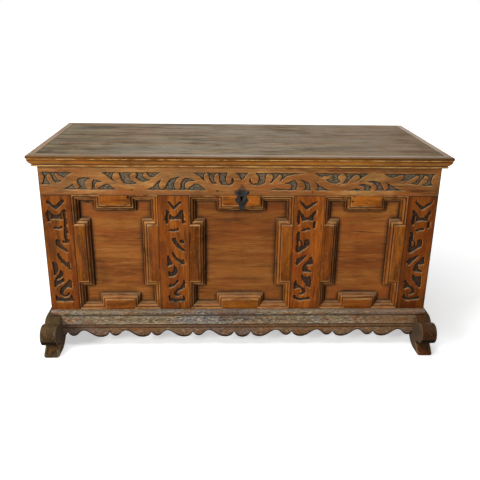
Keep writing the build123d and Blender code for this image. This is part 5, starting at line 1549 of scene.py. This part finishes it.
# Bays of the frieze, each a sunk ground and the leaves left standing in it: along the rail from its
# middle, and down from the top of the strip, in millimetres
friezeBays = {
    "upper1": (
        [(-672, 1), (-556, 1), (-571, 8), (-581, 14), (-586, 20), (-592, 25), (-594, 29), (-601, 35),
         (-608, 38), (-615, 37), (-621, 41), (-625, 44), (-668, 44), (-660, 38), (-655, 29), (-653, 20),
         (-655, 11), (-660, 5)],
        [(-637, 8), (-630, 12), (-627, 22), (-623, 32), (-616, 40), (-623, 48), (-633, 42), (-640, 32),
         (-644, 22), (-644, 13)],
        [(-615, 7), (-609, 8), (-603, 13), (-591, 21), (-584, 24), (-590, 30), (-596, 28), (-605, 27),
         (-613, 20), (-617, 13), (-618, 8)],
    ),
    "lower1": (
        [(-599, 60), (-590, 57), (-581, 53), (-571, 47), (-564, 42), (-556, 33), (-547, 24), (-539, 20),
         (-520, 18), (-505, 20), (-491, 26), (-475, 28), (-456, 34), (-446, 38), (-436, 48), (-425, 57),
         (-415, 61)],
        [(-558, 28), (-561, 41), (-558, 50), (-551, 57), (-543, 56), (-539, 51), (-544, 43), (-547, 34),
         (-545, 27), (-538, 20), (-546, 14), (-558, 20)],
        [(-499, 24), (-510, 27), (-518, 32), (-521, 39), (-522, 46), (-519, 54), (-513, 58), (-503, 59),
         (-498, 53), (-499, 43), (-497, 33), (-491, 27), (-484, 17), (-500, 12)],
        [(-489, 43), (-482, 37), (-471, 35), (-456, 32), (-444, 28), (-436, 42), (-450, 41), (-460, 42),
         (-469, 48), (-477, 56), (-484, 58), (-489, 56), (-490, 50)],
    ),
    "upper2": (
        [(-467, 1), (-268, 1), (-277, 5), (-286, 11), (-296, 19), (-299, 25), (-306, 28), (-316, 32),
         (-329, 34), (-345, 38), (-353, 41), (-366, 42), (-380, 42), (-388, 40), (-395, 37), (-412, 39),
         (-417, 38), (-427, 30), (-437, 22), (-451, 11), (-459, 5)],
        [(-419, 3), (-426, 7), (-430, 15), (-428, 22), (-421, 31), (-412, 38), (-405, 46), (-386, 44),
         (-396, 34), (-401, 24), (-404, 15), (-407, 7), (-412, 3)],
        [(-358, 3), (-366, 5), (-372, 10), (-373, 17), (-370, 24), (-360, 31), (-350, 37), (-342, 45),
         (-322, 38), (-334, 32), (-345, 28), (-352, 22), (-355, 18), (-350, 14), (-349, 9), (-352, 5)],
        [(-323, 3), (-328, 8), (-327, 15), (-321, 22), (-306, 24), (-294, 27), (-288, 15), (-300, 19),
         (-309, 15), (-315, 7), (-318, 4)],
    ),
    "lower2": (
        [(-322, 61), (-311, 58), (-299, 50), (-289, 42), (-279, 32), (-269, 25), (-255, 22), (-242, 26),
         (-232, 20), (-220, 17), (-210, 15), (-200, 15), (-192, 21), (-179, 19), (-165, 22), (-151, 31),
         (-142, 38), (-132, 50), (-123, 58), (-117, 61)],
        [(-267, 25), (-274, 37), (-277, 46), (-275, 54), (-267, 58), (-259, 55), (-255, 46), (-250, 38),
         (-242, 28), (-236, 16), (-256, 13)],
        [(-203, 15), (-211, 21), (-221, 30), (-226, 42), (-225, 53), (-216, 58), (-207, 57), (-205, 46),
         (-204, 37), (-200, 28), (-192, 22), (-186, 12), (-198, 8)],
        [(-150, 31), (-164, 30), (-177, 32), (-187, 38), (-191, 46), (-190, 54), (-184, 58), (-178, 54),
         (-170, 45), (-162, 40), (-149, 38), (-137, 43), (-130, 34), (-142, 26)],
    ),
    "upper3": (
        [(-165, 1), (-49, 1), (-49, 5), (-52, 13), (-54, 22), (-53, 30), (-49, 37), (-42, 39), (-36, 36),
         (-33, 29), (-35, 19), (-31, 17), (-26, 24), (-25, 31), (-29, 38), (-37, 43), (-49, 45), (-61, 44),
         (-70, 41), (-80, 40), (-91, 40), (-101, 37), (-113, 36), (-120, 32), (-128, 27), (-135, 18),
         (-142, 12), (-152, 8), (-162, 3)],
        [(-121, 4), (-127, 10), (-127, 19), (-121, 30), (-114, 36), (-106, 46), (-96, 42), (-106, 29),
         (-111, 17), (-112, 8), (-116, 4)],
        [(-85, 5), (-91, 10), (-93, 20), (-89, 31), (-80, 41), (-76, 49), (-65, 47), (-74, 34), (-76, 22),
         (-77, 10), (-79, 6)],
    ),
    "middle": (
        [(-25, 1), (23, 1), (12, 10), (5, 23), (0, 26), (-6, 18), (-14, 8)],
    ),
    "upper4": (
        [(45, 1), (212, 1), (185, 5), (161, 8), (149, 13), (140, 20), (131, 28), (125, 32), (109, 33),
         (99, 35), (81, 40), (73, 38), (64, 42), (54, 45), (40, 44), (30, 38), (25, 30), (26, 22), (30, 16),
         (30, 27), (33, 35), (41, 38), (51, 37), (56, 30), (57, 20), (54, 11), (47, 5)],
        [(90, 4), (82, 7), (79, 16), (81, 27), (77, 37), (72, 48), (88, 47), (90, 37), (97, 31), (102, 22),
         (104, 14), (101, 7)],
        [(128, 6), (121, 11), (115, 21), (107, 29), (96, 37), (104, 46), (122, 40), (126, 31), (131, 22),
         (134, 13), (132, 8)],
    ),
    "lower3": (
        [(86, 60), (101, 57), (116, 54), (133, 55), (145, 56), (143, 40), (155, 33), (166, 28), (176, 26),
         (188, 22), (205, 25), (219, 30), (227, 36), (238, 25), (254, 37), (266, 46), (280, 53), (293, 58),
         (306, 61)],
        [(120, 40), (143, 41), (155, 39), (163, 40), (166, 45), (165, 52), (160, 56), (150, 57), (140, 54),
         (120, 52), (110, 48)],
        [(176, 18), (180, 27), (186, 31), (189, 41), (185, 49), (183, 55), (189, 60), (202, 60), (210, 57),
         (213, 51), (213, 43), (209, 35), (201, 29), (190, 24), (186, 14)],
        [(223, 28), (229, 37), (231, 47), (232, 58), (240, 61), (249, 60), (255, 55), (256, 47), (250, 38),
         (238, 28), (234, 18)],
    ),
    "upper5": (
        [(240, 1), (429, 1), (414, 10), (403, 16), (396, 24), (386, 31), (377, 33), (364, 36), (352, 36),
         (341, 38), (331, 40), (321, 38), (309, 37), (297, 34), (290, 29), (281, 21), (277, 18), (269, 14),
         (254, 8)],
        [(300, 6), (293, 9), (283, 13), (273, 10), (270, 20), (281, 22), (288, 20), (298, 17), (304, 12),
         (304, 8)],
        [(336, 3), (325, 8), (322, 16), (327, 23), (335, 26), (331, 31), (322, 37), (312, 42), (320, 50),
         (335, 40), (345, 31), (350, 22), (351, 12), (345, 6)],
        [(388, 6), (377, 9), (369, 18), (361, 27), (354, 35), (350, 46), (364, 44), (370, 34), (380, 30),
         (389, 25), (395, 19), (396, 11), (394, 7)],
    ),
    "lower4": (
        [(346, 61), (362, 59), (379, 56), (386, 50), (393, 42), (400, 39), (407, 37), (412, 32), (422, 28),
         (438, 26), (452, 27), (464, 31), (472, 31), (481, 27), (493, 34), (507, 42), (522, 51), (536, 56),
         (556, 60)],
        [(392, 44), (403, 45), (412, 48), (417, 53), (414, 58), (406, 58), (396, 54), (388, 50), (382, 56),
         (376, 52), (385, 44)],
        [(418, 28), (428, 32), (438, 33), (451, 40), (456, 48), (455, 56), (447, 61), (438, 60), (435, 53),
         (439, 47), (435, 42), (422, 38), (406, 38), (400, 28)],
        [(464, 20), (468, 33), (475, 43), (478, 51), (484, 57), (491, 56), (497, 50), (495, 41), (488, 34),
         (478, 27), (474, 18)],
    ),
    "upper6": (
        [(476, 2), (657, 2), (646, 8), (642, 15), (641, 27), (643, 37), (651, 44), (603, 43), (597, 40),
         (591, 39), (579, 37), (557, 35), (546, 31), (536, 28), (530, 27), (522, 22), (514, 18), (503, 16),
         (493, 11), (483, 6)],
        [(510, 17), (524, 10), (536, 7), (545, 9), (547, 14), (543, 20), (536, 25), (529, 32), (516, 28)],
        [(553, 28), (564, 25), (577, 17), (588, 9), (596, 8), (598, 13), (590, 25), (582, 31), (570, 33),
         (556, 34), (542, 36), (541, 28)],
        [(625, 8), (616, 10), (612, 20), (605, 30), (598, 38), (590, 46), (604, 48), (612, 38), (622, 33),
         (629, 24), (631, 14)],
    ),
}

# The carved strips of the uprights, in millimetres
upright = {"width": 58.5, "height": 371.0, "top": 545.0, "stile": 624.25, "muntin": 226.35, "spare": 2,
           "grow": 2.9}

# Pockets of the uprights: across from the left of the strip, and down from its top
leftStilePockets = [
    [(0, 0), (8, 0), (17, 12), (27, 18), (39, 11), (45, 0), (58, 0), (43, 18), (28, 28), (12, 14)],
    [(0, 31), (10, 39), (5, 46), (5, 70), (0, 71)],
    [(58, 28), (46, 39), (54, 42), (55, 90), (51, 112), (52, 144), (58, 150)],
    [(13, 43), (26, 54), (46, 44), (47, 64), (30, 60), (12, 63)],
    [(18, 93), (40, 93), (44, 88), (42, 97), (19, 97)],
    [(20, 138), (31, 138), (29, 146), (40, 163), (55, 175), (54, 183), (41, 175), (27, 163), (19, 152)],
    [(43, 142), (57, 145), (56, 150), (45, 149)],
    [(23, 187), (35, 210), (47, 225), (57, 222), (58, 248), (54, 241), (43, 230), (31, 219), (23, 202)],
    [(1, 219), (15, 227), (17, 245), (10, 260), (4, 270)],
    [(26, 252), (33, 260), (30, 273), (16, 284), (5, 288), (14, 277), (24, 267), (25, 258)],
    [(32, 281), (35, 289), (24, 300), (8, 308), (2, 316), (1, 290), (14, 295), (26, 289)],
    [(54, 289), (58, 292), (58, 320), (52, 318), (46, 315), (35, 320), (27, 331), (24, 342), (31, 349),
     (41, 347), (48, 338), (49, 343), (41, 352), (28, 352), (19, 343), (17, 329), (28, 315), (42, 303)],
    [(2, 347), (8, 360), (50, 362), (57, 348), (58, 370), (2, 370)],
]
leftMuntinPockets = [
    [(7, 1), (27, 28), (52, 1), (45, 3), (30, 17), (24, 17), (13, 3)],
    [(2, 31), (10, 39), (6, 43), (4, 54), (6, 71), (2, 79), (0, 65)],
    [(13, 46), (18, 52), (28, 57), (37, 52), (44, 40), (56, 29), (56, 38), (47, 46), (49, 63), (28, 60),
     (12, 64)],
    [(55, 43), (58, 46), (58, 77), (55, 75)],
    [(11, 102), (38, 99), (39, 95), (41, 99), (38, 104), (11, 105)],
    [(45, 144), (52, 138), (57, 141), (57, 149), (49, 149)],
    [(20, 132), (30, 131), (32, 144), (42, 160), (58, 172), (58, 179), (42, 169), (29, 155), (23, 144)],
    [(19, 183), (26, 197), (35, 208), (46, 216), (56, 211), (57, 227), (49, 229), (38, 218), (27, 205),
     (20, 194)],
    [(3, 197), (6, 205), (14, 222), (15, 230), (5, 234), (2, 236), (2, 211)],
    [(24, 234), (31, 244), (32, 255), (27, 268), (15, 276), (5, 275), (3, 258), (12, 261), (19, 259),
     (24, 250)],
    [(36, 289), (33, 298), (21, 311), (9, 318), (4, 317), (6, 307), (17, 307), (27, 300)],
    [(57, 289), (57, 319), (49, 319), (46, 314), (54, 303)],
    [(48, 319), (38, 323), (26, 331), (21, 338), (24, 347), (34, 353), (43, 346), (35, 349), (28, 343),
     (29, 335), (39, 328), (50, 325)],
    [(4, 350), (7, 361), (30, 367), (54, 364), (56, 350), (57, 371), (4, 372)],
]
rightPockets = [
    [(2, 0), (27, 28), (59, 0), (47, 3), (31, 17), (24, 17), (13, 5)],
    [(0, 29), (6, 39), (14, 46), (19, 56), (30, 59), (39, 56), (46, 43), (57, 31), (56, 40), (50, 49),
     (48, 67), (29, 63), (13, 68), (12, 52), (5, 45), (3, 52), (3, 78), (0, 82)],
    [(53, 70), (57, 71), (56, 93), (53, 91)],
    [(14, 103), (26, 96), (41, 95), (40, 100), (28, 101), (18, 105)],
    [(0, 108), (4, 111), (5, 128), (5, 141), (12, 141), (16, 149), (15, 160), (21, 165), (26, 155),
     (27, 138), (38, 138), (39, 152), (37, 162), (25, 170), (13, 178), (1, 187), (0, 172)],
    [(2, 211), (13, 205), (31, 196), (32, 200), (20, 212), (8, 224), (1, 234), (0, 219)],
    [(53, 202), (56, 227), (49, 230), (39, 229), (34, 232), (36, 241), (41, 252), (51, 255), (52, 259),
     (38, 257), (29, 259), (24, 252), (25, 238), (32, 225), (44, 216), (48, 205)],
    [(23, 269), (26, 276), (32, 280), (44, 280), (51, 275), (53, 289), (53, 319), (45, 314), (37, 303),
     (27, 291), (23, 280)],
    [(0, 292), (3, 303), (12, 312), (21, 317), (30, 322), (35, 333), (33, 343), (24, 347), (16, 344),
     (23, 342), (28, 335), (25, 325), (17, 319), (7, 319), (0, 325)],
    [(0, 350), (3, 358), (16, 363), (34, 363), (53, 356), (54, 364), (34, 368), (9, 369), (0, 364)],
]
rightRounds = [
    [(5, 145), (10, 144), (14, 150), (13, 159), (7, 163), (3, 155)],
]


def carveFrieze(node):
    lo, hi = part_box(node)

    def inFrieze(points):
        return roundedOutline([(x * mm, (frieze["top"] - down) * mm) for x, down in points])

    grounds = [inFrieze(bay[0]) for bay in friezeBays.values()]
    leaves = [inFrieze(leaf) for bay in friezeBays.values() for leaf in bay[1:]]
    strip = ((frieze["foot"] - frieze["below"]) * mm, (frieze["top"] + frieze["above"]) * mm)
    slab = carvedSlab((lo.x, hi.x), (lo.z, hi.z), (-frieze["end"] * mm, frieze["end"] * mm), strip,
                      grounds, leaves, frieze["grow"] * mm, frieze["seed"])
    joinSlab(node, slab, oak["rail"])


def carveUpright(node, middle, pockets, rounds, zEnds, seed):
    half, spare, top = upright["width"] / 2, upright["spare"], upright["top"]
    lo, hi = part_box(node)

    def inStrip(points):
        return roundedOutline([((middle + x - half) * mm, (top - down) * mm) for x, down in points])

    across = ((middle - half - spare) * mm, (middle + half + spare) * mm)
    tall = ((top - upright["height"] - spare) * mm, (top + spare) * mm)
    slab = carvedSlab((lo.x, hi.x), zEnds, across, tall, [inStrip(points) for points in pockets],
                      [inStrip(points) for points in rounds], upright["grow"] * mm, seed)
    joinSlab(node, slab, oak["carved"], lowTone.get(node, lowTone["other"]))


carveFrieze("front_top_rail")
railFoot = low("front_top_rail").z
stileEnds = (low("plinth_bead").z, railFoot)
muntinEnds = (high("front_bottom_rail").z, railFoot)
carveUpright("front_left_stile", -upright["stile"], leftStilePockets, [], stileEnds, 29)
carveUpright("front_left_muntin", -upright["muntin"], leftMuntinPockets, [], muntinEnds, 19)
carveUpright("front_right_muntin", upright["muntin"], rightPockets, rightRounds, muntinEnds, 21)
carveUpright("front_right_stile", upright["stile"], rightPockets, rightRounds, stileEnds, 31)
print("carving made")


# Iron

ironArris = 0.4
ironNodes = ["left_case_leaf", "right_case_leaf", "left_hinge_pin", "right_hinge_pin", "lock_case",
             "bolt_guides", "left_lid_strap", "right_lid_strap", "lid_staple", "lock_bolt"]


def makeIronwork(node, finish):
    shape = welded(node)
    softened(shape, ironArris * mm)
    finishPiece("iron_", node, shape, finish)


for node in ironNodes:
    makeIronwork(node, iron["iron"])
makeIronwork("escutcheon", iron["keyplate"])
print("ironwork made")
